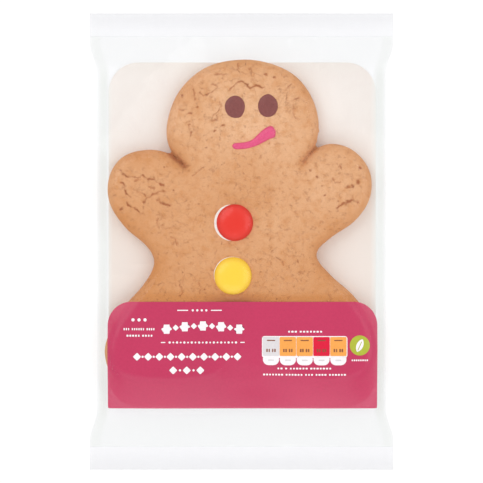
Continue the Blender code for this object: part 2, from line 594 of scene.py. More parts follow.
@dataclass(frozen=True)
class SugarSkin(Finish):
    """Sugar with a fine grain in its skin, which turns from its colour to a second one."""

    colour: str
    shade: str
    # Sugar has an IOR of 1.5, and how dull it looks is the work of its grain
    ior: float = 1.5
    roughness: float = 0.5
    shine: float = 0.5
    grain: float = 0.8 * MM
    grain_detail: float = 3.0
    grain_roughness: float = 0.6
    grain_height: float = 0.04 * MM
    # Where in the grain the second colour begins, and where it is whole
    shaded_from: float = 0.35
    shaded_to: float = 0.7

    def shaded(self, tree: Tree, grain: Socket) -> Socket:
        """The share of the second colour, which lies in the grain."""
        limits = {"From Min": self.shaded_from, "From Max": self.shaded_to}
        return add_node(tree, "MapRange", {"Value": grain, **limits})

    def surface(self, tree: Tree, place: Socket) -> Socket:
        """Grains the skin in colour and in relief.

        Args:
            tree: the material's nodes.
            place: the Object coordinates.

        Returns:
            The finished shader.
        """
        fineness = {"Detail": self.grain_detail, "Roughness": self.grain_roughness}
        grain = add_node(tree, "TexNoise", {"Vector": place, "Scale": 1.0 / self.grain, **fineness})
        share = self.shaded(tree, grain)
        colours = {FIRST_COLOUR: linear_colour(self.colour), SECOND_COLOUR: linear_colour(self.shade)}
        skin = add_node(tree, "Mix", {FACTOR: share, **colours}, MIXED_COLOUR, data_type="RGBA")
        bump = add_node(tree, "Bump", {"Height": grain, "Distance": self.grain_height, "Strength": 1.0})
        look = {"Roughness": self.roughness, "IOR": self.ior, "Specular IOR Level": self.shine}
        return add_node(tree, "BsdfPrincipled", {"Base Color": skin, "Normal": bump, **look})


@dataclass(frozen=True)
class SetIcing(SugarSkin):
    """Piped water icing, set hard: nearly matt, with the dull sheen of a dried sugar skin."""


@dataclass(frozen=True)
class PolishedSugar(SugarSkin):
    """A panned sugar shell, polished with wax: satin, very slightly dimpled, and painted darker at its rim as
    shade.
    """

    roughness: float = 0.42
    shine: float = 0.35
    grain: float = 1.6 * MM
    grain_detail: float = 2.0
    grain_roughness: float = 0.5
    grain_height: float = 0.05 * MM
    # How much of the second colour the grain brings, over the painted shade that the sweet's own mesh stores
    # at its rim
    grain_share: float = 0.12

    def shaded(self, tree: Tree, grain: Socket) -> Socket:
        """The share of the second colour, most of it painted shade at the rim.

        Args:
            tree: the material's nodes.
            grain: the skin's grain.

        Returns:
            The share.
        """
        rim_shade = add_node(tree, "Attribute", {}, "Fac", attribute_name="rim_shade")
        return add_node(
            tree, "Math", {0: grain, 1: self.grain_share, 2: rim_shade}, operation="MULTIPLY_ADD", use_clamp=True
        )


@dataclass(frozen=True)
class LightTable(Finish):
    """The white light table that the pack is photographed on."""

    name: str = "lit_white_acrylic"
    # A sheet of opal acrylic lit from beneath: most of what it sends up is its own glow
    colour: str = "#959595"
    glow: float = 0.70
    # Its sanded face has next to no gloss
    roughness: float = 0.9
    shine: float = 0.1

    def surface(self, tree: Tree, place: Socket) -> Socket:
        """Adds the sheet's glow to what it scatters.

        Args:
            tree: the material's nodes.
            place: the Object coordinates, not used.

        Returns:
            The finished shader.
        """
        look = {"Roughness": self.roughness, "Specular IOR Level": self.shine}
        glow = {"Emission Color": linear_colour("#FFFFFF"), "Emission Strength": self.glow}
        return add_node(tree, "BsdfPrincipled", {"Base Color": linear_colour(self.colour), **look, **glow})


def hand_over(piece: Piece, finish: Finish, sharp: float | None = None) -> None:
    """Shades and dresses a finished piece, and makes it stand for the bag's CAD solid.

    Args:
        piece: the finished piece, its place already in its mesh.
        finish: what it is made of.
        sharp: the angle in degrees past which its edges stay sharp, or None where none do.
    """
    make_active(piece)
    if sharp is None:
        bpy.ops.object.shade_smooth()
    else:
        bpy.ops.object.shade_smooth_by_angle(angle=math.radians(sharp))
    piece.data.materials.append(finish.material())
    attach(piece, "root")
    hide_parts(BAG_NODE)
    log.info("%s: %d faces", piece.name, len(piece.data.polygons))


# The biscuit

NECK_LEFT = (-23.2, 30.5)
NECK_RIGHT = (24.6, 31.6)
HEAD_OUTLINE = (
    NECK_RIGHT, (29.2, 38.4), (30.7, 47.0), (28.3, 56.8), (21.9, 65.7), (12.2, 70.8), (0.5, 72.6),
    (-13.4, 69.8), (-24.0, 61.1), (-29.2, 49.2), (-29.1, 38.8), NECK_LEFT,
)
BODY_OUTLINE = (
    NECK_LEFT, (-28.8, 34.9), (-37.8, 36.5), (-47.6, 33.5), (-52.8, 25.6), (-52.6, 15.6), (-46.4, 5.8),
    (-37.6, -2.0), (-34.7, -8.4), (-38.6, -16.8), (-46.6, -26.0), (-52.3, -35.6), (-54.5, -45.2),
    (-50.2, -54.6), (-36.0, -57.8), (-19.0, -57.4), (-7.0, -54.0), (-0.6, -44.0), (4.4, -33.6),
    (8.2, -28.8), (11.0, -33.6), (11.4, -44.0), (16.4, -53.6), (28.0, -57.6), (41.0, -57.4),
    (50.8, -53.0), (54.0, -44.4), (51.6, -32.6), (45.0, -22.2), (35.2, -13.2), (29.8, -5.4),
    (34.5, 0.8), (45.3, 8.5), (51.2, 17.6), (51.1, 28.0), (45.0, 36.0), (36.6, 38.9), (30.0, 36.9),
    NECK_RIGHT,
)
STEPS_A_SPAN = 8


def smooth_stretch(points: Sequence[Point]) -> list[Vector]:
    """Draws a smooth curve through points, which leaves the first and reaches the last at any angle.

    Args:
        points: the points in millimetres.

    Returns:
        The curve in metres, without its last point, which the stretch that follows brings.
    """
    knots = [Vector(point) * MM for point in points]
    free = Vector((0.0, 0.0))
    headings = [free, *((after - before).normalized() for before, after in zip(knots, knots[2:])), free]
    curve = []
    for index, (start, end) in enumerate(zip(knots, knots[1:])):
        reach = (end - start).length
        leaving, arriving = headings[index] * reach, headings[index + 1] * reach
        for step in range(STEPS_A_SPAN):
            t = step / STEPS_A_SPAN
            curve.append(
                start * (2 * t**3 - 3 * t**2 + 1)
                + leaving * (t**3 - 2 * t**2 + t)
                + end * (3 * t**2 - 2 * t**3)
                + arriving * (t**3 - t**2)
            )
    return curve


def distance_to_path(xs: Places, ys: Places, path: Sequence[Point]) -> Places:
    """Measures how far places are from a path of straight runs.

    Args:
        xs: their x places in metres.
        ys: their y places in metres.
        path: the path's points in metres.

    Returns:
        The distance of each place to its nearest point of the path.
    """
    nearest = np.full(xs.shape, np.inf)
    for (ax, ay), (bx, by) in zip(path, path[1:]):
        run_x, run_y = bx - ax, by - ay
        along = np.clip(((xs - ax) * run_x + (ys - ay) * run_y) / (run_x**2 + run_y**2), 0.0, 1.0)
        nearest = np.minimum(nearest, np.hypot(xs - ax - along * run_x, ys - ay - along * run_y))
    return nearest


@dataclass(frozen=True)
class Crack:
    """A crack in the crust, as a path in millimetres."""

    path: tuple[Point, ...]
    half_width: float = 0.29 * MM
    depth: float = 0.4 * MM
    darkness: float = 0.95
    ragged: float = 1.0

    def distance(self, xs: Places, ys: Places) -> Places:
        """How far places are from the crack, in metres."""
        return distance_to_path(xs, ys, [(x * MM, y * MM) for x, y in self.path])


@dataclass(frozen=True)
class Pit:
    """A small round hole in the crust, its centre in millimetres."""

    centre: Point
    radius: float = 0.6 * MM
    depth: float = 0.5 * MM

    def distance(self, xs: Places, ys: Places) -> Places:
        """How far places are from the pit's middle, in metres."""
        return np.hypot(xs - self.centre[0] * MM, ys - self.centre[1] * MM)


@dataclass(frozen=True)
class TonePatch:
    """A round patch that the oven has treated otherwise: its middle and radius in millimetres."""

    centre: Point
    radius: float
    strength: float

    def share(self, points: Places) -> Places:
        """How much of the patch's strength each point gets."""
        reach = np.hypot(points[:, 0] / MM - self.centre[0], points[:, 1] / MM - self.centre[1])
        return self.strength * bell(reach / self.radius)


FINE = 0.27 * MM
WIDE = 0.42 * MM
LEFT_ARM_CRACKS = (
    Crack(((-48.1, 28.2), (-47.0, 26.9), (-45.6, 26.0), (-43.0, 25.7), (-41.6, 25.0), (-40.6, 25.4),
           (-39.6, 26.3), (-38.4, 25.7), (-37.3, 24.9), (-35.3, 25.2), (-34.1, 24.0), (-32.7, 22.9),
           (-31.0, 22.2))),
    Crack(((-47.9, 23.7), (-46.7, 22.7), (-46.5, 20.9), (-45.9, 18.9), (-43.9, 17.7))),
    Crack(((-43.0, 20.6), (-41.3, 20.0), (-39.0, 18.9), (-38.2, 18.0)), darkness=0.7),
    Crack(((-38.4, 15.7), (-37.3, 17.5), (-35.6, 18.6), (-33.9, 19.2), (-32.1, 20.0), (-30.7, 20.0)),
          WIDE, WIDE),
    Crack(((-33.3, 16.6), (-32.1, 15.4), (-30.4, 14.9), (-28.4, 14.3)), WIDE, WIDE),
    Crack(((-45.9, 15.5), (-44.7, 13.9), (-42.7, 13.2), (-41.0, 12.0))),
    Crack(((-42.0, 24.2), (-40.6, 24.5)), WIDE, darkness=0.6),
    Crack(((-19.5, 26.3), (-17.9, 27.5), (-16.7, 28.7), (-15.1, 29.5)), darkness=0.6),
    Crack(((-33.3, 9.4), (-33.6, 7.4), (-33.0, 5.2)), FINE, darkness=0.35),
    Crack(((-36.8, 21.6), (-34.8, 21.2)), FINE, darkness=0.5),
)
RIGHT_ARM_CRACKS = (
    Crack(((38.6, 13.7), (40.2, 15.2), (42.2, 15.6), (43.8, 16.8), (45.4, 16.0), (46.6, 15.4)), WIDE, WIDE),
    Crack(((41.4, 21.6), (44.2, 21.6)), darkness=0.7),
    Crack(((39.4, 29.9), (39.8, 28.7)), darkness=0.5),
    Crack(((36.2, 24.8), (37.6, 23.6), (39.2, 23.8)), FINE, darkness=0.5),
)
HEAD_CRACKS = (
    Crack(((-4.8, 60.2), (-4.2, 61.2), (-2.9, 61.8), (-1.9, 63.1), (-0.3, 63.8), (0.9, 63.4),
           (2.2, 62.5), (3.2, 61.2), (4.5, 61.8), (6.0, 62.5), (7.6, 61.5), (8.9, 61.2)), ragged=0.7),
    Crack(((-19.1, 60.6), (-18.8, 58.4), (-18.3, 56.2)), darkness=0.7, ragged=0.6),
    Crack(((-16.6, 59.3), (-15.0, 58.0), (-12.6, 59.2), (-10.9, 59.7), (-9.7, 61.7), (-11.5, 62.9)),
          darkness=0.7, ragged=0.6),
    Crack(((15.1, 60.6), (17.7, 60.3), (19.4, 62.3)), darkness=0.6),
    Crack(((18.3, 59.4), (17.8, 57.4), (18.0, 56.2), (19.4, 55.9), (22.7, 56.9)), darkness=0.6),
    Crack(((-1.3, 70.5), (-1.6, 68.5), (-0.6, 67.3)), FINE, darkness=0.6),
    Crack(((3.2, 68.9), (4.1, 67.3), (3.8, 66.0)), FINE, darkness=0.6),
    Crack(((-10.9, 66.3), (-8.6, 66.8), (-5.7, 66.3)), FINE, darkness=0.6),
    Crack(((-8.6, 55.7), (-8.1, 53.4), (-9.7, 51.7), (-11.5, 50.0), (-12.0, 48.1), (-9.8, 48.3),
           (-9.2, 50.6)), FINE, darkness=0.5, ragged=0.6),
    Crack(((-24.6, 52.3), (-23.0, 52.6)), FINE, darkness=0.5),
    Crack(((-20.7, 46.5), (-20.6, 44.2), (-20.1, 42.1)), FINE, darkness=0.3),
    Crack(((20.7, 54.6), (20.7, 50.6), (22.5, 48.6)), FINE, darkness=0.3),
)
# The neck creases are sunk into the crust, and their darkness is painted shade in the creases between head
# and arms
SHADED_NECK_CREASES = (
    Crack(((-28.6, 34.8), (-26.2, 33.1), (-24.2, 31.3), (-22.4, 29.8)), 0.95 * MM, 0.6 * MM, 0.8, 0.1),
    Crack(((25.0, 32.3), (26.8, 34.4), (29.0, 37.2)), 0.8 * MM, 0.5 * MM, 0.35, 0.2),
)
BODY_CRACKS = (
    Crack(((-24.6, -17.6), (-23.4, -19.4), (-24.2, -21.6)), FINE, darkness=0.5),
    Crack(((-17.2, -16.4), (-16.2, -18.2), (-16.6, -20.4)), FINE, darkness=0.4),
    Crack(((13.6, -6.2), (15.8, -7.2), (16.6, -9.4)), FINE, darkness=0.35),
    Crack(((-27.8, 1.8), (-26.0, 0.6), (-25.6, -1.6)), FINE, darkness=0.35),
)
SMALL_PITS = (
    (-38.6, 15.7), (-32.4, 15.4), (-29.2, 14.5), (-39.2, 26.2), (-42.4, 25.7), (-35.5, 25.2),
    (-46.9, 26.8), (-47.8, 23.5), (-30.8, 29.6), (-42.6, 13.3), (39.5, 29.4), (43.9, 16.6),
    (46.4, 15.6), (41.4, 14.7), (-17.5, 53.2), (-20.9, 46.6), (33.0, 18.5), (27.5, 28.5),
    (-27.0, 20.5), (22.4, -8.0), (-15.0, -19.0),
)
PITS = (
    Pit((-47.9, 12.8)), Pit((46.6, 23.7), 0.9 * MM, 0.8 * MM), Pit((44.2, 22.1)), Pit((30.3, 25.5)),
    Pit((47.3, 29.5)), Pit((9.4, 66.5)), Pit((13.1, 65.4)), Pit((-7.3, 46.2)), Pit((-20.5, 51.1)),
    Pit((-20.3, 43.3), 0.5 * MM), Pit((-10.6, 43.9), 0.5 * MM), Pit((-23.4, 58.2), 0.5 * MM),
    *(Pit(centre, 0.42 * MM, 0.4 * MM) for centre in SMALL_PITS),
)
BROWNED = tuple(
    TonePatch(*row)
    for row in (
        ((0.0, 50.0), 27.0, -0.46), ((19.0, 42.0), 11.0, -0.16), ((-27.0, 48.0), 8.0, -0.22),
        ((2.0, 32.0), 8.0, 0.12), ((-43.0, 23.0), 15.0, -0.10), ((41.0, 23.0), 15.0, -0.26),
        ((23.0, 20.0), 12.0, -0.08), ((15.0, 0.0), 15.0, -0.10), ((-33.0, -18.0), 15.0, 0.22),
        ((33.0, -18.0), 14.0, 0.02), ((-4.0, -23.0), 10.0, 0.25), ((-10.0, 14.0), 16.0, 0.08),
        ((-26.0, 34.0), 7.0, 0.2), ((-48.0, 8.0), 9.0, 0.15), ((-36.0, -6.0), 7.0, 0.1),
        ((-40.0, 34.0), 7.0, 0.22), ((0.0, 70.0), 9.0, 0.2),
    )
)
CRAZED = tuple(
    TonePatch(*row)
    for row in (
        ((-40.0, 20.0), 12.0, 0.15), ((-15.0, 58.0), 11.0, 0.3), ((2.0, 66.0), 9.0, 0.5),
        ((19.0, 57.0), 8.0, 0.4), ((-21.0, 46.0), 8.0, 0.3), ((42.0, 21.0), 10.0, 0.25),
        ((-22.0, -14.0), 9.0, 0.5), ((-10.0, 46.0), 6.0, 0.3), ((18.0, -4.0), 9.0, 0.4),
        ((-25.0, 8.0), 9.0, 0.4), ((3.0, 19.0), 14.0, 0.25), ((8.0, -18.0), 11.0, 0.4),
    )
)


@dataclass
class Biscuit:
    """The gingerbread man himself: a cut slab of dough, rounded by baking, cracked and pitted."""

    finish: BakedDough = BakedDough()
    base_height: float = 1.02 * MM
    edge_thickness: float = 8.4 * MM
    shoulder: float = 4.0 * MM
    crown: float = 0.8 * MM
    crown_reach: float = 20.0 * MM
    rough_voxel: float = 0.8 * MM
    fine_voxel: float = 0.5 * MM
    spread: float = 0.2 * MM
    rim_browning: float = 6.0 * MM
    # Painted shade on the crust: a band along the panel's upper edge where the film's shadow falls, and a
    # patch of it under the lower sweet: y, half width, and the sweet's own part
    panel_edge: float = -24.1 * MM
    panel_shadow: float = 2.7 * MM
    sweet_shadow: tuple[float, float] = (-3.0 * MM, 10.0 * MM)
    seats: tuple[Point, ...] = ((-2.9, 7.4), (-3.4, -13.6))
    seat_rim: tuple[float, float] = (7.6 * MM, 9.7 * MM)
    seat_depth: float = 0.45 * MM
    # The band beside each crack and pit whose faces are halved, and the lowest height that it reaches
    refined: float = 1.3 * MM
    crust_from: float = 2.0 * MM
    # The underside: how far in from the foot its faces are joined, how high it reaches, and what share stays
    foot_margin: float = 2.0 * MM
    underside: float = 0.3 * MM
    faces_left: float = 0.1
    # How cracks wander off their paths, in wide and in narrow bends: the reach and the width of a bend
    wide_bend: tuple[float, float] = (0.55 * MM, 1.6 * MM)
    narrow_bend: tuple[float, float] = (0.25 * MM, 0.7 * MM)
    # The length over which a crack swells and fades, and how dark a pit is
    swell_length: float = 1.9 * MM
    pit_darkness: float = 0.8
    # The lumps of the baked crust: their height, width and seed, and how far above the foot they begin
    crust_lumps: tuple[tuple[float, float, float], ...] = (
        (0.16 * MM, 11.0 * MM, 21.0), (0.10 * MM, 4.2 * MM, 33.0), (0.07 * MM, 1.7 * MM, 45.0),
    )
    foot_height: float = 0.6 * MM
    # How brown the crust is all over, how much browner its rim is at least, and by how much that drifts
    browned: float = 0.6
    browned_rim: tuple[float, float] = (0.04, 0.26)
    rim_drift: float = 15.0 * MM
    # How crazed it is all over, how brown and dark the painted shade along the panel's edge makes it, and how
    # dark the painted shade under a sweet makes it
    crazed: float = 0.12
    panel_shade_browning: float = 0.5
    panel_darkness: float = 0.14
    sweet_darkness: float = 0.95
    cracks: tuple[Crack, ...] = LEFT_ARM_CRACKS + RIGHT_ARM_CRACKS + HEAD_CRACKS + SHADED_NECK_CREASES + BODY_CRACKS
    pits: tuple[Pit, ...] = PITS

    def outline(self) -> list[Vector]:
        """The biscuit's outline in plan, in metres, anticlockwise as it is seen."""
        return smooth_stretch(HEAD_OUTLINE) + smooth_stretch(BODY_OUTLINE)

    def depth_inside(self, xs: Places, ys: Places) -> Places:
        """Measures how far inside the outline places are.

        Args:
            xs: their x places in metres.
            ys: their y places in metres.

        Returns:
            Each place's depth, below zero outside the outline.
        """
        outline = [(point.x, point.y) for point in self.outline()]
        outline.append(outline[0])
        inside = np.zeros(xs.shape, dtype=bool)
        for (ax, ay), (bx, by) in zip(outline, outline[1:]):
            if ay != by:
                crosses = (ay > ys) != (by > ys)
                inside ^= crosses & (xs < ax + (ys - ay) * (bx - ax) / (by - ay))
        nearest = distance_to_path(xs, ys, outline)
        return np.where(inside, nearest, -nearest)

    def cut_slab(self) -> Piece:
        """Cuts the outline out of dough of one thickness: a disc pulled to the outline and raised.

        Returns:
            The slab, still sharp.
        """
        outline = self.outline()
        slab = add_piece(
            "gingerbread_biscuit", bpy.ops.mesh.primitive_circle_add,
            vertices=len(outline), radius=50.0 * MM, fill_type="NGON",
        )
        for vertex, place in zip(slab.data.vertices, outline):
            vertex.co = (place.x, place.y, self.base_height)
        double_up(slab, self.edge_thickness)
        settle_in_mesh(slab)
        return slab

    def bake_shape(self, slab: Piece) -> None:
        """Rounds the slab's shoulders, raises its low crown and takes the sharpness off its foot.

        Args:
            slab: the cut slab.
        """
        apply_modifier(slab, "REMESH", mode="VOXEL", voxel_size=self.rough_voxel)
        points = read_points(slab)
        depth = np.clip(self.depth_inside(points[:, 0], points[:, 1]), 0.0, None)
        share = np.clip((points[:, 2] - self.base_height) / self.edge_thickness, 0.0, 1.0)
        inset = self.shoulder - np.clip(depth, 0.0, self.shoulder)
        drop = self.shoulder - np.sqrt(self.shoulder**2 - inset**2)
        rise = self.crown * np.sin(math.pi / 2.0 * np.clip(depth / self.crown_reach, 0.0, 1.0))
        points[:, 2] = self.base_height + share * (self.edge_thickness - drop + rise)
        write_points(slab, points)
        apply_modifier(slab, "REMESH", mode="VOXEL", voxel_size=self.fine_voxel)
        apply_modifier(slab, "SMOOTH", factor=0.5, iterations=6)
        points = read_points(slab)
        points[:, :2] += self.spread * read_rows(slab.data.vertices, "normal")[:, :2]
        write_points(slab, points)

    def refine_cracks(self, slab: Piece) -> None:
        """Halves the faces that cracks and pits cross, so that their edges come out crisp.

        Args:
            slab: the baked slab.
        """
        centres = read_rows(slab.data.polygons, "center")
        near = np.zeros(len(centres), dtype=bool)
        for flaw in (*self.cracks, *self.pits):
            near |= flaw.distance(centres[:, 0], centres[:, 1]) < self.refined
        choose_faces(slab, near & (centres[:, 2] > self.base_height + self.crust_from))
        with edit_mode(slab, whole=False):
            bpy.ops.mesh.select_mode(type="FACE")
            bpy.ops.mesh.subdivide(number_cuts=1, quadcorner="INNERVERT")

    def thin_underside(self, slab: Piece) -> None:
        """Joins most faces of the flat underside, which lies on the board and holds no detail.

        Args:
            slab: the baked slab.
        """
        centres = read_rows(slab.data.polygons, "center")
        inland = self.depth_inside(centres[:, 0], centres[:, 1]) > self.foot_margin
        choose_faces(slab, inland & (centres[:, 2] < self.base_height + self.underside))
        with edit_mode(slab, whole=False):
            bpy.ops.mesh.select_mode(type="FACE")
            bpy.ops.mesh.decimate(ratio=self.faces_left)

    def flaws(self, points: Places) -> tuple[Places, Places]:
        """Works out the cracks and pits, which wander a little and swell and fade along their way.

        Args:
            points: the crust's points.

        Returns:
            How deep each point is sunk, in metres, and how dark it is.
        """
        (wide, wide_width), (narrow, narrow_width) = self.wide_bend, self.narrow_bend
        xs, ys = (
            points[:, axis]
            + (wide * lumps(points, wide_width, seed) + narrow * lumps(points, narrow_width, second_seed))
            for axis, seed, second_seed in ((0, 3.1, 5.3), (1, 7.7, 9.9))
        )
        along = ease(-0.45, 0.45, lumps(points, self.swell_length, 15.3))
        sunk, dark = np.zeros(len(points)), np.zeros(len(points))
        for crack in self.cracks:
            swell = 1.0 + crack.ragged * (0.75 * along - 0.4)
            notch = bell(crack.distance(xs, ys) / (crack.half_width * swell))
            sunk = np.maximum(sunk, crack.depth * notch)
            dark = np.maximum(dark, crack.darkness * notch * (1.0 + crack.ragged * (0.9 * along - 0.7)))
        for pit in self.pits:
            notch = bell((pit.distance(xs, ys) / pit.radius) ** 2)
            sunk = np.maximum(sunk, pit.depth * notch)
            dark = np.maximum(dark, self.pit_darkness * notch)
        for x, y in self.seats:
            reach = np.hypot(points[:, 0] - x * MM, points[:, 1] - y * MM)
            sunk += self.seat_depth * (1.0 - ease(*self.seat_rim, reach))
        return sunk, dark

    def break_crust(self, slab: Piece) -> None:
        """Adds the crust's relief, and stores where it is cracked, where it has browned, and where shade is
        painted on it.

        Args:
            slab: the baked slab, its faces refined.
        """
        points = read_points(slab)
        upright = ease(0.1, 0.7, read_rows(slab.data.vertices, "normal")[:, 2])
        sunk, dark = self.flaws(points)
        relief = sum(height * lumps(points, size, seed) for height, size, seed in self.crust_lumps)
        above_foot = points[:, 2] > self.base_height + self.foot_height
        points[:, 2] += np.where(above_foot, upright * (relief - sunk), 0.0)
        write_points(slab, points)
        rim = 1.0 - ease(0.0, self.rim_browning, self.depth_inside(points[:, 0], points[:, 1]))
        drift = 0.5 + 0.5 * lumps(points, self.rim_drift, 57.0)
        # Painted shade: the band along the panel's upper edge is browned and darkened, and the patch under
        # the lower sweet is darkened
        panel_shade_band = bell((points[:, 1] - self.panel_edge) / self.panel_shadow)
        middle, reach = self.sweet_shadow
        sweet_shade_patch = panel_shade_band * bell((points[:, 0] - middle) / reach)
        least, drifting = self.browned_rim
        brown = self.browned + rim * (least + drifting * drift) + self.panel_shade_browning * panel_shade_band
        write_shares(slab, "baked", brown + sum(patch.share(points) for patch in BROWNED))
        write_shares(slab, "crazed", self.crazed + sum(patch.share(points) for patch in CRAZED))
        shadow = self.sweet_darkness * sweet_shade_patch + self.panel_darkness * panel_shade_band
        dark = np.maximum(dark, shadow)
        crust = points[:, 2] > self.base_height + self.crust_from
        write_shares(slab, "cracked", np.where(crust, dark, 0.0))

    def build(self) -> Piece:
        """Builds and dresses the biscuit.

        Returns:
            The finished piece.
        """
        slab = self.cut_slab()
        self.bake_shape(slab)
        self.thin_underside(slab)
        self.refine_cracks(slab)
        self.break_crust(slab)
        hand_over(slab, self.finish)
        return slab


# The iced face


@dataclass(frozen=True)
class IcedEye:
    """One piped dot: its middle, half widths and the little tail that the nozzle left, in millimetres."""

    name: str
    centre: Point
    half_width: float
    half_height: float
    tail_angle: float
    tail_reach: float


@dataclass
class IcedFace:
    """Two dots and a crooked smile, piped on the baked head."""

    crust: BVHTree
    eye_finish: SetIcing = SetIcing("set_chocolate_icing", "#84403A", "#783833")
    smile_finish: SetIcing = SetIcing("set_pink_icing", "#E34F80", "#D94274", roughness=0.42)
    stands_proud: float = 0.75 * MM
    sunk: float = 0.35 * MM
    eyes: tuple[IcedEye, ...] = (
        IcedEye("left_eye_icing", (-2.6, 53.6), 4.0, 4.45, -58.0, 0.2),
        IcedEye("right_eye_icing", (10.5, 54.0), 3.95, 4.5, 84.0, 0.15),
    )
    tail_width: float = 0.24
    # The smile's stations in millimetres: x, y and half width, from its left end
    smile: tuple[tuple[float, float, float], ...] = (
        (-3.8, 38.0, 1.15), (-1.3, 37.9, 1.3), (1.2, 38.2, 1.3), (3.6, 38.7, 1.35), (5.7, 39.6, 1.55),
        (7.5, 40.9, 1.85), (9.2, 42.2, 2.15), (11.2, 43.4, 2.45), (13.6, 44.1, 2.4),
    )
    smile_stations: int = 30
    smile_end: float = 1.5
    # Half the height of the bead before it settles, and how much higher than the eyes it then stands
    bead_height: float = 1.7 * MM
    bead_stands: float = 1.25
    rings: int = 28
    sides: int = 44

    def lay_on_crust(self, piece: Piece) -> None:
        """Drops a blob onto the crust, so that it follows half of the crust's rise and fall.

        Args:
            piece: the blob, its heights measured from the crust.
        """
        points = read_points(piece)
        crust = heights_under(self.crust, points[:, 0], points[:, 1], 10.0 * MM)
        points[:, 2] += 0.5 * crust + 0.5 * np.median(crust)
        write_points(piece, points)

    def pipe_eye(self, eye: IcedEye) -> Piece:
        """Pipes one dot: a ball flattened to a dome, with its tail drawn out.

        Args:
            eye: its sizes.

        Returns:
            The finished piece.
        """
        dot = add_piece(
            eye.name, bpy.ops.mesh.primitive_uv_sphere_add,
            segments=self.sides, ring_count=self.rings, radius=1.0,
        )
        points = read_points(dot)
        around = np.arctan2(points[:, 1], points[:, 0])
        from_tail = np.angle(np.exp(1j * (around - math.radians(eye.tail_angle))))
        tail = bell(from_tail / self.tail_width) * np.hypot(points[:, 0], points[:, 1]) ** 3
        wobble = 1.0 + 0.012 * np.sin(3.0 * around + eye.tail_angle) + 0.006 * np.sin(5.0 * around)
        reach = wobble + tail * eye.tail_reach / eye.half_height
        points[:, 0] = (eye.centre[0] + points[:, 0] * reach * eye.half_width) * MM
        points[:, 1] = (eye.centre[1] + points[:, 1] * reach * eye.half_height) * MM
        swell = np.sign(points[:, 2]) * np.abs(points[:, 2]) ** 0.8
        points[:, 2] = np.where(swell > 0.0, swell * self.stands_proud, swell * self.sunk)
        write_points(dot, points)
        self.lay_on_crust(dot)
        hand_over(dot, self.eye_finish)
        return dot

    def pipe_smile(self) -> Piece:
        """Pipes the smile: a round bead swept along its path, swelling to the right, then flattened.

        Returns:
            The finished piece.
        """
        bead = add_piece("smile_icing", bpy.ops.curve.primitive_nurbs_path_add)
        curve = bead.data
        curve.splines.clear()
        places = np.linspace(0.0, len(self.smile) - 1.0, self.smile_stations)
        xs, ys, widths = (
            np.interp(places, np.arange(len(self.smile)), measures) for measures in zip(*self.smile)
        )
        along = np.concatenate(([0.0], np.cumsum(np.hypot(np.diff(xs), np.diff(ys)))))
        for end in (along, along[-1] - along):
            share = np.clip(end / self.smile_end, 0.0, 1.0)
            widths = widths * np.sqrt(np.clip(1.0 - (1.0 - share) ** 2, 0.004, 1.0))
        spline = curve.splines.new("POLY")
        spline.points.add(self.smile_stations - 1)
        for point, x, y, width in zip(spline.points, xs, ys, widths):
            point.co = (x * MM, y * MM, 0.0, 1.0)
            point.radius = width
        curve.dimensions = "3D"
        curve.bevel_depth = 1.0 * MM
        curve.bevel_resolution = 6
        curve.use_fill_caps = True
        make_active(bead)
        bpy.ops.object.convert(target="MESH")
        bead = bpy.context.active_object
        bead.data.name = bead.name
        points = read_points(bead)
        rise = points[:, 2] / self.bead_height
        points[:, 2] = np.where(rise > 0.0, rise * self.stands_proud * self.bead_stands, rise * self.sunk)
        wobbles = [lumps(points, 3.0 * MM, seed) for seed in (61.0, 67.0)]
        points[:, :2] += 0.12 * MM * np.stack(wobbles, axis=1)
        write_points(bead, points)
        self.lay_on_crust(bead)
        turn_outward(bead, merged=0.01 * MM)
        hand_over(bead, self.smile_finish)
        return bead

    def build(self) -> list[Piece]:
        """Pipes the whole face and gives its pieces."""
        return [*(self.pipe_eye(eye) for eye in self.eyes), self.pipe_smile()]


# The sweets


class ShellColour(Enum):
    """The colours that the sweets come in: the shell's own, and the darker one painted at its rim as shade.
    """

    RED = ("red", "#E6260F", "#CE2A18")
    YELLOW = ("yellow", "#FAD237", "#EFBE30")


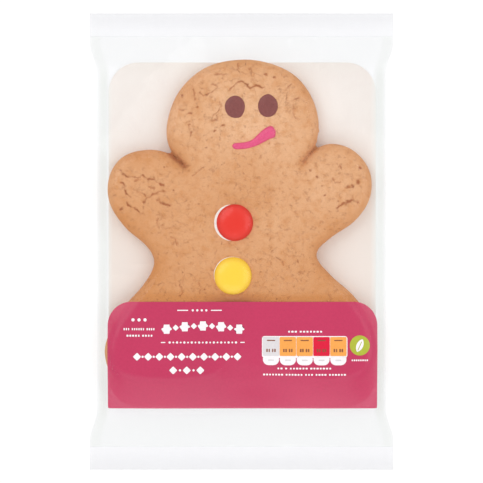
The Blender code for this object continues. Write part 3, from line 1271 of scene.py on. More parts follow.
@dataclass
class SugarSweet:
    """A lentil-shaped sweet with a coloured sugar shell, set in a dab of white icing."""

    colour: ShellColour
    centre: Point
    radius: float
    dab_centre: Point
    dab_radius: float
    dab_top: float = 10.35 * MM
    dab_half_thickness: float = 1.6 * MM
    dab_fullness: float = 0.3
    top: float = 12.4 * MM
    half_thickness: float = 2.75 * MM
    fullness: float = 0.92
    segments: int = 72
    rings: int = 40

    def lentil(
        self, name: str, centre: Point, radius: float, top: float, half_thickness: float, fullness: float
    ) -> Piece:
        """Turns a lentil: a ball squashed flat.

        Args:
            name: the piece's name.
            centre: its middle in plan, in millimetres.
            radius: its half width in metres.
            top: the height of its top in metres.
            half_thickness: its half thickness in metres.
            fullness: 1 for a ball's own curve, less for a flatter top and a blunter rim.

        Returns:
            The new piece, not yet dressed.
        """
        sweet = add_piece(
            name, bpy.ops.mesh.primitive_uv_sphere_add,
            segments=self.segments, ring_count=self.rings, radius=1.0,
        )
        points = read_points(sweet)
        # A share that rises toward the rim, which the sugar shell turns into painted shade
        write_shares(sweet, "rim_shade", 0.7 * ease(0.7, 1.0, np.hypot(points[:, 0], points[:, 1])))
        wobble = 1.0 + 0.008 * lumps(points, 0.8, radius / MM)
        for axis in (0, 1):
            points[:, axis] = centre[axis] * MM + points[:, axis] * radius * wobble
        swell = np.sign(points[:, 2]) * np.abs(points[:, 2]) ** fullness
        points[:, 2] = top - half_thickness + swell * half_thickness
        write_points(sweet, points)
        return sweet

    def build(self) -> list[Piece]:
        """Builds the dab of icing and the sweet.

        Returns:
            The two pieces.
        """
        word, shell_colour, rim_shade_colour = self.colour.value
        dab = self.lentil(
            f"{word}_sweet_icing_dab", self.dab_centre, self.dab_radius,
            self.dab_top, self.dab_half_thickness, self.dab_fullness,
        )
        hand_over(dab, SetIcing(f"{word}_sweet_white_icing", "#F3ECE6", "#E9DFD8"))
        sweet = self.lentil(
            f"{word}_sweet", self.centre, self.radius, self.top, self.half_thickness, self.fullness
        )
        hand_over(sweet, PolishedSugar(f"{word}_sugar_shell", shell_colour, rim_shade_colour))
        return [dab, sweet]


# The board


@dataclass
class BackingBoard:
    """The board that the biscuit lies on: a cream card with round corners."""

    finish: CreamBoard = CreamBoard()
    width: float = 107.4 * MM
    middle_x: float = 0.3 * MM
    top_y: float = 71.9 * MM
    bottom_y: float = -66.4 * MM
    corner: float = 12.0 * MM
    lower_face: float = 0.22 * MM
    upper_face: float = 1.0 * MM
    cut_edge: float = 0.12 * MM

    def build(self) -> Piece:
        """Cuts and dresses the board.

        Returns:
            The finished piece.
        """
        thickness = self.upper_face - self.lower_face
        board = add_piece(
            "backing_board", bpy.ops.mesh.primitive_cube_add, size=1.0,
            location=(self.middle_x, (self.top_y + self.bottom_y) / 2.0, self.lower_face + thickness / 2.0),
            scale=(self.width, self.top_y - self.bottom_y, thickness),
        )
        settle_in_mesh(board)
        upright = []
        for edge in board.data.edges:
            start, end = (board.data.vertices[index].co for index in edge.vertices)
            upright.append(abs(start.z - end.z) > thickness / 2.0)
        choose_faces(board, [False] * len(board.data.polygons))
        board.data.edges.foreach_set("select", upright)
        with edit_mode(board, whole=False):
            bpy.ops.mesh.select_mode(type="EDGE")
            bpy.ops.mesh.bevel(offset=self.corner, segments=14, affect="EDGES")
        apply_modifier(board, "BEVEL", width=self.cut_edge, segments=3, limit_method="ANGLE", angle_limit=0.9)
        hand_over(board, self.finish, sharp=35.0)
        return board


# The film


@dataclass(frozen=True)
class Pleat:
    """One gather of the film that runs into the bag from an end seal, in metres."""

    x: float
    slant: float
    length: float
    half_width: float
    height: float


@dataclass
class FilmBag:
    """The film drawn over the filling, its underside, the two end seals and the fin seal along its back."""

    contents: BVHTree
    finish: ClearFilm = ClearFilm()
    seal_finish: CrimpedFilm = CrimpedFilm()
    body_width: float = 115.6 * MM
    waist: tuple[float, float] = (67.0 * MM, 80.0 * MM)
    seal_depth: float = 9.6 * MM
    fold_height: float = 3.2 * MM
    clearance: float = 0.14 * MM
    seal_gap: float = 0.06 * MM
    columns: int = 128
    rows: int = 176
    settling_rounds: int = 500
    sag_curvature: float = 14.0
    pleats_an_end: int = 26
    slack_height: float = 0.28 * MM
    crease_reach: float = 5.5 * MM
    # How much of the darker tint the open ends of the bag take, at the head and at the feet
    end_tinting: tuple[float, float] = (0.35, 0.45)
    seal_columns: int = 420
    seal_rows: int = 14
    seal_creases: int = 9
    crimp_pitch: float = 1.5 * MM
    crimp_height: float = 0.13 * MM
    crease_height: float = 0.3 * MM
    seal_half_thickness: float = 0.1 * MM
    # The end seals' waves: the height and length of a long and of a short one, and how low both lie
    long_wave: tuple[float, float] = (0.30 * MM, 13.0 * MM)
    short_wave: tuple[float, float] = (0.16 * MM, 5.3 * MM)
    wave_drop: float = 0.1 * MM
    # How far the open film goes into a seal's depth, and how far the two pieces overlap there
    seal_entry: float = 0.4 * MM
    seal_overlap: float = 0.1 * MM
    # A seal's outer edge flares: by how much at most, and over what length
    flare: tuple[float, float] = (0.35 * MM, 17.0 * MM)
    # The fin seal bends to the side: how far, and over what length
    fin_bend: tuple[float, float] = (0.25 * MM, 21.0 * MM)
    fin_middle: tuple[float, float, float] = (3.0 * MM, 2.7 * MM, 0.025 * MM)
    fin_size: tuple[float, float, float] = (12.0 * MM, 132.0 * MM, 0.04 * MM)
    seed: int = 20
    bag_length: float = 0.0
    end_width: float = 0.0
    heights: Places = field(default_factory=lambda: np.zeros((2, 2)))

    def __post_init__(self) -> None:
        """Takes the bag's length and the width of its ends from the frame."""
        low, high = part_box(BAG_NODE)
        self.bag_length = high.y - low.y
        self.end_width = high.x - low.x

    def half_width(self, y: Places) -> Places:
        """Half the bag's width at y: its ends lie flat and wide, and the filled body draws it in."""
        return (self.body_width + (self.end_width - self.body_width) * ease(*self.waist, np.abs(y))) / 2.0

    def body_reach(self) -> float:
        """How far from the middle the open part of the bag goes, just into each seal."""
        return self.bag_length / 2.0 - self.seal_depth + self.seal_entry

    def wave(self, xs: Places, end: float) -> Places:
        """Bends an end seal up and down along its length.

        Args:
            xs: places across the bag.
            end: 1 at the head and -1 at the feet.

        Returns:
            How far the seal stands off its flat at each.
        """
        phase = 1.3 if end > 0 else 4.1
        (high, length), (low, short_length) = self.long_wave, self.short_wave
        long_wave = high * np.sin(xs / length + phase)
        return long_wave + low * np.sin(xs / short_length + 2.0 * phase) - self.wave_drop

    def grid(self) -> tuple[Places, Places]:
        """Sets out the film's points in plan, with a row for each place along the bag.

        Returns:
            Their x places and their y places.
        """
        ys = np.linspace(-self.body_reach(), self.body_reach(), self.rows + 1)
        shares = np.linspace(-1.0, 1.0, self.columns + 1)
        return np.outer(self.half_width(ys), shares), np.outer(ys, np.ones_like(shares))

    def pleats(self, end: float) -> list[Pleat]:
        """Draws the gathers at one end by a seeded rule.

        Args:
            end: 1 at the head and -1 at the feet.

        Returns:
            The gathers.
        """
        draw = random.Random(self.seed + int(end))
        return [
            Pleat(
                x=draw.uniform(-57.0, 57.0) * MM,
                slant=draw.uniform(-0.35, 0.35),
                length=draw.uniform(5.0, 16.0) * MM,
                half_width=draw.uniform(0.9, 2.2) * MM,
                height=draw.uniform(0.15, 0.5) * MM,
            )
            for _ in range(self.pleats_an_end)
        ]

    def gather(self, xs: Places, ys: Places) -> Places:
        """Works out how far the pleats lift the film.

        Args:
            xs: the film's places across the bag.
            ys: its places along the bag.

        Returns:
            The lift at each.
        """
        lift = np.zeros_like(xs)
        for end in (1.0, -1.0):
            run = self.body_reach() - end * ys
            for pleat in self.pleats(end):
                fade = np.clip(1.0 - run / pleat.length, 0.0, 1.0) ** 1.5 * ease(0.0, 1.6 * MM, run)
                lift += pleat.height * fade * bell((xs - pleat.x - pleat.slant * run) / pleat.half_width)
        return lift

    def slack(self, xs: Places, ys: Places) -> Places:
        """Works out how far small tension wrinkles lift the film where nothing lies against it.

        Args:
            xs: the film's places across the bag.
            ys: its places along the bag.

        Returns:
            The lift at each.
        """
        flat = np.stack([xs.ravel(), ys.ravel(), np.zeros(xs.size)], axis=1)
        beside = lumps(flat * (0.22, 1.0, 1.0), 4.6 * MM, 71.0).reshape(xs.shape)
        along = lumps(flat * (1.0, 0.2, 1.0), 5.2 * MM, 83.0).reshape(xs.shape)
        toward_seal = ease(60.0 * MM, 76.0 * MM, np.abs(ys))
        return self.slack_height * (0.5 + 0.5 * (beside * (1.0 - toward_seal) + along * toward_seal))

    def settle(self, start: Places, floor: Places, held: Places, held_heights: Places, sag: float) -> Places:
        """Lets a film settle: each free point goes to the mean of its neighbours, never below the floor.

        Args:
            start: the heights that it starts from.
            floor: the heights that it can't go below.
            held: True for the points that a seal or fold holds.
            held_heights: where those are held.
            sag: how far the mean is lowered in each round.

        Returns:
            The settled heights.
        """
        heights = np.where(held, held_heights, np.maximum(start, floor))
        for _ in range(self.settling_rounds):
            mean = heights.copy()
            beside = heights[:-2, 1:-1] + heights[2:, 1:-1] + heights[1:-1, :-2] + heights[1:-1, 2:]
            mean[1:-1, 1:-1] = beside / 4.0
            heights = np.where(held, held_heights, np.maximum(mean - sag, floor))
        return heights

    def draw_film(self, xs: Places, ys: Places) -> tuple[Places, Places]:
        """Draws the film over the filling, starting from the frame's own solid.

        Args:
            xs: the film's places across the bag.
            ys: its places along the bag.

        Returns:
            The heights of the upper and of the lower film.
        """
        solid = surface_tree(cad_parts[BAG_NODE])
        held = np.zeros(xs.shape, dtype=bool)
        held[[0, -1], :] = held[:, [0, -1]] = True
        toward_seal = ease(0.7, 1.0, np.abs(ys) / self.body_reach())
        rim = self.fold_height + toward_seal * np.where(ys > 0, self.wave(xs, 1.0), self.wave(xs, -1.0))
        # A ray at the very side would miss the solid, so the outermost ones stand a little inward
        inward = np.where(np.abs(xs) / self.half_width(ys) > 0.999, 0.999, 1.0)
        upper_start, lower_start = (
            heights_under(solid, xs * inward, ys, self.fold_height, upward) for upward in (False, True)
        )
        filling = heights_under(self.contents, xs, ys, -1.0) + self.clearance
        beneath = heights_under(self.contents, xs, ys, 1.0, upward=True) - self.clearance
        sag = self.sag_curvature * (self.bag_length / self.rows) ** 2 / 4.0
        at_seal = held & (np.abs(ys) >= self.body_reach() - 0.01 * MM)
        gap = np.where(at_seal, self.seal_gap, 0.0)
        upper = self.settle(upper_start, filling, held, rim + gap, sag)
        lower = -self.settle(-lower_start, -np.minimum(beneath, 1.0), held, gap - rim, 0.0)
        free = ease(0.0, 1.2 * MM, upper - filling) * ease(0.0, 4.0 * MM, self.half_width(ys) - np.abs(xs))
        upper = upper + free * (self.gather(xs, ys) + self.slack(xs, ys))
        return upper, np.maximum(lower, 0.05 * MM)

    def height(self, xs: Places, ys: Places) -> Places:
        """Gives the upper film's height over any place, between the grid's points.

        Args:
            xs: the places' x in metres.
            ys: the places' y in metres.

        Returns:
            The heights in metres.
        """
        reach = self.body_reach()
        row = np.clip((ys + reach) / (2.0 * reach), 0.0, 1.0) * self.rows
        column = np.clip((xs / self.half_width(ys) + 1.0) / 2.0, 0.0, 1.0) * self.columns
        below = np.minimum(row.astype(int), self.rows - 1)
        left = np.minimum(column.astype(int), self.columns - 1)
        up, right = row - below, column - left
        near, far = (
            self.heights[line, left] * (1.0 - right) + self.heights[line, left + 1] * right
            for line in (below, below + 1)
        )
        return near * (1.0 - up) + far * up

    def envelope(self) -> Piece:
        """Makes the film itself: a flat sheet doubled into an envelope, moved to where the film hangs.

        Returns:
            The finished piece.
        """
        xs, ys = self.grid()
        upper, lower = self.draw_film(xs, ys)
        self.heights = upper
        film = add_piece(
            "drawn_film", bpy.ops.mesh.primitive_grid_add,
            x_subdivisions=self.columns, y_subdivisions=self.rows, size=2.0,
        )
        double_up(film, 1.0)
        points = read_points(film)
        column = np.rint((points[:, 0] + 1.0) / 2.0 * self.columns).astype(int)
        row = np.rint((points[:, 1] + 1.0) / 2.0 * self.rows).astype(int)
        points[:, 2] = np.where(points[:, 2] > 0.5, upper[row, column], lower[row, column])
        points[:, 0], points[:, 1] = xs[row, column], ys[row, column]
        write_points(film, points)
        # The darker tint's share: partly creases and partly painted shade at the side folds, and a set share
        # toward the open ends
        from_fold = self.half_width(points[:, 1]) - np.abs(points[:, 0])
        at_side = ease(-0.5 * MM, 1.6 * MM, from_fold) - ease(3.0 * MM, self.crease_reach, from_fold)
        toward_end = ease(64.0 * MM, 74.0 * MM, np.abs(points[:, 1]))
        at_head, at_feet = self.end_tinting
        end_tint_share = np.where(points[:, 1] < 0.0, at_feet, at_head)
        write_shares(film, "crease_and_shade", at_side * (1.0 - 0.7 * toward_end) + end_tint_share * toward_end)
        turn_outward(film, merged=0.002 * MM)
        hand_over(film, self.finish, sharp=55.0)
        return film

    def end_seal(self, name: str, end: float) -> Piece:
        """Makes one end seal: a strip of fused film, pressed into fine ridges by the jaws.

        Args:
            name: the piece's name.
            end: 1 at the head, -1 at the feet.

        Returns:
            The finished piece.
        """
        inner, outer = self.body_reach() - self.seal_overlap, self.bag_length / 2.0
        seal = add_piece(
            name, bpy.ops.mesh.primitive_grid_add,
            x_subdivisions=self.seal_columns, y_subdivisions=self.seal_rows, size=2.0,
        )
        double_up(seal, 1.0)
        points = read_points(seal)
        out = (1.0 + end * points[:, 1]) / 2.0
        ys = end * (inner + (outer - inner) * out)
        xs = points[:, 0] * self.half_width(ys)
        draw = random.Random(self.seed + 7 * int(end))
        ridges = self.crimp_height * np.sin(2.0 * math.pi * xs / self.crimp_pitch)
        for _ in range(self.seal_creases):
            middle, width = draw.uniform(-58.0, 58.0) * MM, draw.uniform(0.5, 1.1) * MM
            ridges += draw.choice((-1.0, 1.0)) * self.crease_height * bell((xs - middle) / width)
        pressed = ease(0.0, 0.12, out) * ease(0.0, 0.06, 1.0 - out) * ridges
        flared, length = self.flare
        flare = flared * out**2 * np.sin(xs / length + end)
        half = self.seal_half_thickness * (0.1 + 0.9 * ease(0.0, 0.15, out))
        side = np.where(points[:, 2] > 0.5, half, -half)
        points = np.stack([xs, ys, self.fold_height + self.wave(xs, end) + pressed + flare + side], axis=1)
        write_points(seal, points)
        write_shares(seal, "crease_and_shade", 0.15 + 0.85 * ease(0.0, 1.0, out))
        turn_outward(seal)
        hand_over(seal, self.seal_finish, sharp=50.0)
        return seal

    def fin_seal(self) -> Piece:
        """Makes the seam along the back, folded flat against it under the board.

        Returns:
            The finished piece.
        """
        fin = add_piece(
            "back_fin_seal", bpy.ops.mesh.primitive_cube_add,
            size=1.0, location=self.fin_middle, scale=self.fin_size,
        )
        settle_in_mesh(fin)
        with edit_mode(fin):
            bpy.ops.mesh.subdivide(number_cuts=60)
        turn_outward(fin)
        points = read_points(fin)
        bend, length = self.fin_bend
        points[:, 0] += bend * np.sin(points[:, 1] / length)
        write_points(fin, points)
        hand_over(fin, self.seal_finish, sharp=40.0)
        return fin

    def build(self) -> list[Piece]:
        """Builds the whole bag and gives its pieces."""
        ends = (("head_end_seal", 1.0), ("foot_end_seal", -1.0))
        return [self.envelope(), *(self.end_seal(name, end) for name, end in ends), self.fin_seal()]


# The print


@dataclass(frozen=True)
class RoundedBlock:
    """A printed shape: a rectangle with round corners, in millimetres and degrees."""

    centre: Point
    size: Point
    corner: float
    turn: float = 0.0

    def corner_at(self, vs: Places) -> Places | float:
        """The corners' radius at places along the shape."""
        return self.corner

    def distance(self, us: Places, vs: Places) -> Places:
        """Measures how far outside the shape places are, in its own axes and in millimetres.

        Args:
            us: places across the shape.
            vs: places along it.

        Returns:
            Each place's distance, below zero inside.
        """
        corner = self.corner_at(vs)
        beyond_u = np.abs(us) - (self.size[0] / 2.0 - corner)
        beyond_v = np.abs(vs) - (self.size[1] / 2.0 - corner)
        outside = np.hypot(np.maximum(beyond_u, 0.0), np.maximum(beyond_v, 0.0))
        return outside + np.minimum(np.maximum(beyond_u, beyond_v), 0.0) - corner


@dataclass(frozen=True)
class Banner(RoundedBlock):
    """A printed rectangle whose upper corners are far rounder than its lower ones."""

    lower_corner: float = 1.0

    def corner_at(self, vs: Places) -> Places | float:
        """The corners' radius at places along the shape."""
        return np.where(vs > 0.0, self.corner, self.lower_corner)


@dataclass(frozen=True)
class Rosette(RoundedBlock):
    """A printed flower of round petals, as wide as its size."""

    petals: int = 6

    def distance(self, us: Places, vs: Places) -> Places:
        """How far outside the shape places are, below zero inside."""
        petal = np.cos(self.petals * np.arctan2(vs, us))
        return np.hypot(us, vs) - self.size[0] / 2.0 * (0.78 + 0.22 * petal)


@dataclass(frozen=True)
class Leaf(RoundedBlock):
    """A printed leaf with a point at each end: where two equal circles overlap."""

    def distance(self, us: Places, vs: Places) -> Places:
        """How far outside the shape places are, below zero inside."""
        radius = (self.size[1] ** 2 + self.size[0] ** 2) / (4.0 * self.size[0])
        return np.hypot(np.abs(us) + radius - self.size[0] / 2.0, vs) - radius


def dot(width: float) -> RoundedBlock:
    """A round dot of one width."""
    return RoundedBlock((0.0, 0.0), (width, width), width / 2.0 - 0.01)


def diamond(side: float, corner: float) -> RoundedBlock:
    """A square with slightly round corners that stands on one of them."""
    return RoundedBlock((0.0, 0.0), (side, side), corner, 45.0)


def motif_row(
    start: float, end: float, y: float, motifs: Sequence[RoundedBlock], bow: float = 0.0
) -> list[RoundedBlock]:
    """Sets out an ornamental row of motifs, evenly spaced.

    Args:
        start: where the first motif's middle is, in millimetres across the bag.
        end: where the last one's is.
        y: the row's height at its ends.
        motifs: the motifs in order.
        bow: how far the middle of the row rises.

    Returns:
        The motifs in their places.
    """
    middle, half = (start + end) / 2.0, (end - start) / 2.0
    shares = np.linspace(-1.0, 1.0, len(motifs))
    return [
        replace(motif, centre=(middle + share * half, y + bow * (1.0 - share**2)))
        for share, motif in zip(shares, motifs)
    ]


def dash_row(
    start: float, end: float, y: float, height: float, groups: Sequence[int], gap: float
) -> list[RoundedBlock]:
    """Sets out a row of short dashes in groups, each of its own width.

    Args:
        start: where the row starts, in millimetres across the bag.
        end: where it ends.
        y: its middle line.
        height: the dashes' height.
        groups: how many dashes each group of them has.
        gap: the gap between two dashes; groups stand three gaps apart.

    Returns:
        The dashes.
    """
    gaps = (sum(groups) - len(groups)) + 3.0 * (len(groups) - 1)
    pitch = (end - start - gaps * gap) / sum(groups)
    draw = random.Random(round(start * 10 + end + y))
    dashes, x = [], start
    for size in groups:
        for _ in range(size):
            wide = pitch * draw.uniform(0.72, 1.0)
            dashes.append(RoundedBlock((x + pitch / 2.0, y), (wide, height), min(wide, height) * 0.3))
            x += pitch + gap
        x += 2.0 * gap
    return dashes


class Ink(Enum):
    """The inks on the film, by name and sRGB colour."""

    PINK = ("pink", "#C4385F")
    WHITE = ("white", "#F3EEF0")
    ORANGE = ("orange", "#F1A350")
    RED = ("red", "#D8163A")
    GREEN = ("green", "#AEB63C")
    GREY = ("grey", "#D9D4D6")
    BROWN = ("brown", "#8A5238")

    def finish(self, opacity: float = 1.0) -> PrintInk:
        """The ink as it lies on the film."""
        word, colour = self.value
        return PrintInk(f"printed_{word}_ink", colour, opacity)


@dataclass
class PrintedPanel:
    """The pink panel across the foot of the pack, with rows of ornament and five columns of colour."""

    film: FilmBag
    panel: Banner = Banner(centre=(0.4, -45.4), size=(107.8, 42.8), corner=9.6, lower_corner=0.4)
    panel_opacity: float = 0.94
    panel_cell: float = 0.9
    # How far each layer of ink lies above the film, so that none cuts through the one below
    panel_lift: float = 0.05 * MM
    mark_lift: float = 0.10 * MM
    upper_mark_lift: float = 0.14 * MM
    top_mark_lift: float = 0.18 * MM
    # The columns: where they start, their width, and the y of their middles and of the tabs below them
    columns: tuple[Ink, ...] = (Ink.GREY, Ink.ORANGE, Ink.ORANGE, Ink.RED, Ink.ORANGE)
    columns_from: float = 8.4
    column_width: float = 6.7
    column_y: float = -41.8
    tab_y: float = -46.9
    leaf_centre: Point = (47.1, -41.4)
    leaf_turn: float = -24.0

    def patch(self, name: str, shape: RoundedBlock, lift: float, cell: float) -> Piece:
        """Prints one shape: a fine grid cut to its outline and laid on the film.

        Args:
            name: the piece's name.
            shape: the outline.
            lift: how far the ink lies above the film, in metres.
            cell: the width of the grid's cells in millimetres.

        Returns:
            The printed piece, not yet dressed.
        """
        width, height = shape.size
        across, along = max(3, round(width / cell)), max(3, round(height / cell))
        patch = add_piece(
            name, bpy.ops.mesh.primitive_grid_add, x_subdivisions=across, y_subdivisions=along, size=1.0
        )
        points = read_points(patch)
        outside = shape.distance(points[:, 0] * width, points[:, 1] * height) > 1e-4
        spare = [all(outside[index] for index in face.vertices) for face in patch.data.polygons]
        if any(spare):
            choose_faces(patch, spare)
            with edit_mode(patch, whole=False):
                bpy.ops.mesh.select_mode(type="FACE")
                bpy.ops.mesh.delete(type="FACE")
            points = read_points(patch)
        us, vs = points[:, 0] * width, points[:, 1] * height
        outside = shape.distance(us, vs) > 1e-4
        step = 1e-3
        # Points outside the outline go down the slope of their distance until they lie on it
        for _ in range(4):
            reach = shape.distance(us, vs)
            slope_u = (shape.distance(us + step, vs) - shape.distance(us - step, vs)) / (2.0 * step)
            slope_v = (shape.distance(us, vs + step) - shape.distance(us, vs - step)) / (2.0 * step)
            steepness = np.maximum(slope_u**2 + slope_v**2, 0.2)
            us = np.where(outside, us - reach * slope_u / steepness, us)
            vs = np.where(outside, vs - reach * slope_v / steepness, vs)
        cosine, sine = math.cos(math.radians(shape.turn)), math.sin(math.radians(shape.turn))
        points[:, 0] = (shape.centre[0] + us * cosine - vs * sine) * MM
        points[:, 1] = (shape.centre[1] + us * sine + vs * cosine) * MM
        points[:, 2] = self.film.height(points[:, 0], points[:, 1]) + lift
        write_points(patch, points)
        return patch

    def print_marks(self, name: str, ink: Ink, shapes: Sequence[RoundedBlock], lift: float) -> Piece:
        """Prints several shapes in one ink as one piece.

        Args:
            name: the piece's name.
            ink: the ink.
            shapes: the outlines.
            lift: how far the ink lies above the film, in metres.

        Returns:
            The finished piece.
        """
        patches = [
            self.patch(f"{name}_{index}", shape, lift, min(0.8, min(shape.size) / 5.0))
            for index, shape in enumerate(shapes)
        ]
        make_active(patches[0])
        for patch in patches[1:]:
            patch.select_set(True)
        if len(patches) > 1:
            bpy.ops.object.join()
        marks = patches[0]
        marks.name = marks.data.name = name
        hand_over(marks, ink.finish())
        return marks

    def ornament(self) -> list[RoundedBlock]:
        """Sets out the white ornament: a bowed garland over straight rows, and fine lines beside it.

        Returns:
            The shapes.
        """
        flower = Rosette((0.0, 0.0), (4.3, 4.3), 1.0, petals=6)
        lozenge, big, small = diamond(1.8, 0.2), diamond(2.35, 0.3), dot(0.9)
        dashes = [
            RoundedBlock((x, y), (length, 0.42), 0.2)
            for x, y, length in (
                (-23.4, -27.4, 4.4), (-10.0, -27.4, 4.4), (-31.2, -40.2, 1.8), (0.4, -40.2, 1.8)
            )
        ]
        return [
            *dashes,
            *motif_row(-19.4, -14.0, -27.4, [small] * 4),
            *motif_row(-29.8, -0.9, -34.9, [flower, lozenge] * 4 + [flower], bow=1.3),
            *motif_row(-28.6, -2.2, -40.2, [small, dot(0.7)] * 9 + [small]),
            *motif_row(-41.6, -1.6, -45.9, [big, small] * 9 + [big]),
            *motif_row(-27.2, -16.4, -51.3, [big, small] * 2 + [big]),
            *motif_row(-43.2, -38.4, -31.2, [dot(1.3)] * 3),
            *dash_row(-47.0, -34.6, -34.9, 0.9, (3, 6, 4), 0.3),
            *dash_row(-45.8, -35.4, -37.5, 0.8, (5, 4), 0.3),
        ]

    def column_marks(self) -> dict[Ink, list[RoundedBlock]]:
        """Sets out the columns of colour at the panel's right, each over a round white tab.

        Returns:
            The shapes of each ink.
        """
        pitch = self.column_width
        width = pitch * len(self.columns)
        shapes: dict[Ink, list[RoundedBlock]] = {ink: [] for ink in self.columns}
        white = [RoundedBlock((self.columns_from + width / 2.0, -42.0), (width + 0.5, 8.7), 1.0)]
        fine: list[RoundedBlock] = []
        for index, ink in enumerate(self.columns):
            x = self.columns_from + (index + 0.5) * pitch
            shapes[ink].append(RoundedBlock((x, self.column_y), (pitch - 0.14, 7.6), 0.25))
            white.append(RoundedBlock((x, self.tab_y), (pitch - 0.25, 4.8), 2.3))
            fine.append(RoundedBlock((x, -39.4), (3.3, 0.42), 0.2))
            fine.extend(dash_row(x - 1.9, x + 1.9, -43.4, 1.3, (2, 2), 0.25))
        shapes[Ink.WHITE] = white
        shapes[Ink.BROWN] = fine
        return shapes

    def build(self) -> list[Piece]:
        """Prints the panel and all its marks.

        Returns:
            The printed pieces.
        """
        panel = self.patch("pink_printed_panel", self.panel, self.panel_lift, self.panel_cell)
        hand_over(panel, Ink.PINK.finish(self.panel_opacity))
        fields = self.column_marks()
        fields_white, fine = fields.pop(Ink.WHITE), fields.pop(Ink.BROWN)
        tab_dashes = [RoundedBlock((tab.centre[0], -47.3), (2.4, 0.5), 0.24) for tab in fields_white[1:]]
        white = [
            *self.ornament(),
            *fields_white,
            *dash_row(18.4, 32.2, -35.9, 0.7, (3, 7), 0.3),
            *dash_row(14.2, 35.8, -50.6, 0.7, (2, 1, 6, 7), 0.3),
            *dash_row(8.6, 41.6, -53.1, 0.7, (7, 6, 3, 4, 6), 0.3),
            *dash_row(43.8, 50.4, -47.3, 0.7, (8,), 0.25),
        ]
        x, y = self.leaf_centre
        disc = replace(dot(8.0), centre=self.leaf_centre)
        leaf = Leaf(self.leaf_centre, (2.7, 5.6), 1.0, turn=self.leaf_turn)
        vein = RoundedBlock((x, y - 0.2), (0.3, 3.8), 0.14, turn=self.leaf_turn)
        marks = (
            ("white_printed_marks", Ink.WHITE, white, self.mark_lift),
            *((f"{ink.value[0]}_printed_fields", ink, fields[ink], self.upper_mark_lift) for ink in fields),
            ("brown_printed_dashes", Ink.BROWN, fine, self.top_mark_lift),
            ("grey_printed_dashes", Ink.GREY, tab_dashes, self.upper_mark_lift),
            ("green_printed_disc", Ink.GREEN, [disc], self.mark_lift),
            ("white_printed_leaf", Ink.WHITE, [leaf], self.upper_mark_lift),
            ("green_printed_vein", Ink.GREEN, [vein], self.top_mark_lift),
        )
        return [panel, *(self.print_marks(*mark) for mark in marks)]


# The studio


@dataclass(frozen=True)
class Softbox:
    """A square lamp, aimed at the pack: its place and side in metres, and its power in watts."""

    name: str
    place: tuple[float, float, float]
    side: float
    power: float


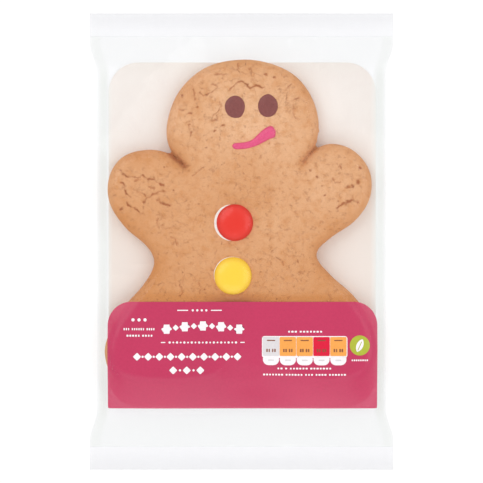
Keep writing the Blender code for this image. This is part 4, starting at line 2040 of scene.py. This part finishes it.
@dataclass
class Studio:
    """A white light table, soft lamps all round and the camera straight above the pack."""

    table: LightTable = LightTable()
    floor_side: float = 6.0
    floor_height: float = -0.02 * MM
    lens: float = 200.0
    sensor: float = 36.0
    framed: float = 193.2 * MM
    focus_height: float = 5.0 * MM
    # How bright the walls are by the sine of the height above the horizon
    sky: tuple[Point, ...] = (
        (0.0, 0.91), (0.16, 0.91), (0.28, 0.7), (0.5, 0.7), (0.68, 0.92), (0.84, 0.92), (0.95, 0.6),
    )
    softboxes: tuple[Softbox, ...] = (
        Softbox("softbox_head_left", (-1.0, 1.0, 1.3), 1.5, 10.15),
        Softbox("softbox_right", (1.4, 0.1, 1.2), 1.5, 6.8),
        Softbox("softbox_feet", (-0.1, -1.4, 1.2), 1.5, 6.35),
    )

    def build_floor(self) -> None:
        """Lays the light table's sheet under the pack."""
        floor = add_piece(
            "light_table_sheet", bpy.ops.mesh.primitive_plane_add,
            size=self.floor_side, location=(0.0, 0.0, self.floor_height),
        )
        settle_in_mesh(floor)
        with edit_mode(floor):
            bpy.ops.mesh.subdivide(number_cuts=8)
        floor.data.materials.append(self.table.material())

    def build_lamps(self) -> None:
        """Hangs the softboxes, each turned to face the pack."""
        for softbox in self.softboxes:
            lamp = add_piece(softbox.name, bpy.ops.object.light_add, type="AREA", location=softbox.place)
            lamp.data.shape = "SQUARE"
            lamp.data.size = softbox.side
            lamp.data.energy = softbox.power
            lamp.rotation_euler = (-Vector(softbox.place)).to_track_quat("-Z", "Y").to_euler()

    def build_world(self) -> None:
        """Surrounds the pack with white light that is dimmer straight overhead, where the camera stands."""
        world = bpy.data.worlds.new("studio_walls")
        bpy.context.scene.world = world
        world.use_nodes = True
        tree = world.node_tree
        tree.nodes.clear()
        place = add_node(tree, "TexCoord", {}, "Generated")
        height = add_node(tree, "SeparateXYZ", {0: place}, "Z")
        brightness = add_node(tree, "ValToRGB", {"Fac": height})
        stops = brightness.node.color_ramp.elements
        while len(stops) < len(self.sky):
            stops.new(0.5)
        for stop, (place_up, share) in zip(stops, self.sky):
            stop.position = place_up
            stop.color = (share, share, share, 1.0)
        sky = add_node(tree, "Background", {"Color": brightness, "Strength": 1.0})
        add_node(tree, "OutputWorld", {"Surface": sky})

    def build_camera(self) -> None:
        """Puts the camera straight above the pack, its upper edge toward the head."""
        distance = self.framed / 2.0 * self.lens / (self.sensor / 2.0)
        camera = add_piece(
            "copy_stand_camera", bpy.ops.object.camera_add,
            location=(0.0, 0.0, self.focus_height + distance), rotation=(0.0, 0.0, 0.0),
        )
        camera.data.lens = self.lens
        camera.data.sensor_width = self.sensor
        camera.data.clip_start = 0.01
        camera.data.clip_end = 50.0
        bpy.context.scene.camera = camera

    def build(self) -> None:
        """Sets the studio up, with colours shown as they are."""
        self.build_floor()
        self.build_lamps()
        self.build_world()
        self.build_camera()
        bpy.context.scene.view_settings.view_transform = "Standard"
        log.info("studio: %d softboxes", len(self.softboxes))


def main() -> None:
    """Builds the pack's looks in order."""
    logging.basicConfig(level=logging.INFO, format="%(name)s: %(message)s")
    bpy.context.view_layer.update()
    biscuit = Biscuit().build()
    board = BackingBoard().build()
    icing = IcedFace(surface_tree(biscuit)).build()
    sweets = [
        *SugarSweet(ShellColour.RED, (-2.7, 7.5), 7.35 * MM, (-3.85, 7.5), 7.4 * MM).build(),
        *SugarSweet(ShellColour.YELLOW, (-3.4, -13.65), 7.5 * MM, (-3.65, -13.4), 7.55 * MM).build(),
    ]
    film = FilmBag(surface_tree(biscuit, board, *icing, *sweets))
    film.build()
    PrintedPanel(film).build()
    Studio().build()


if __name__ == "__main__":
    main()
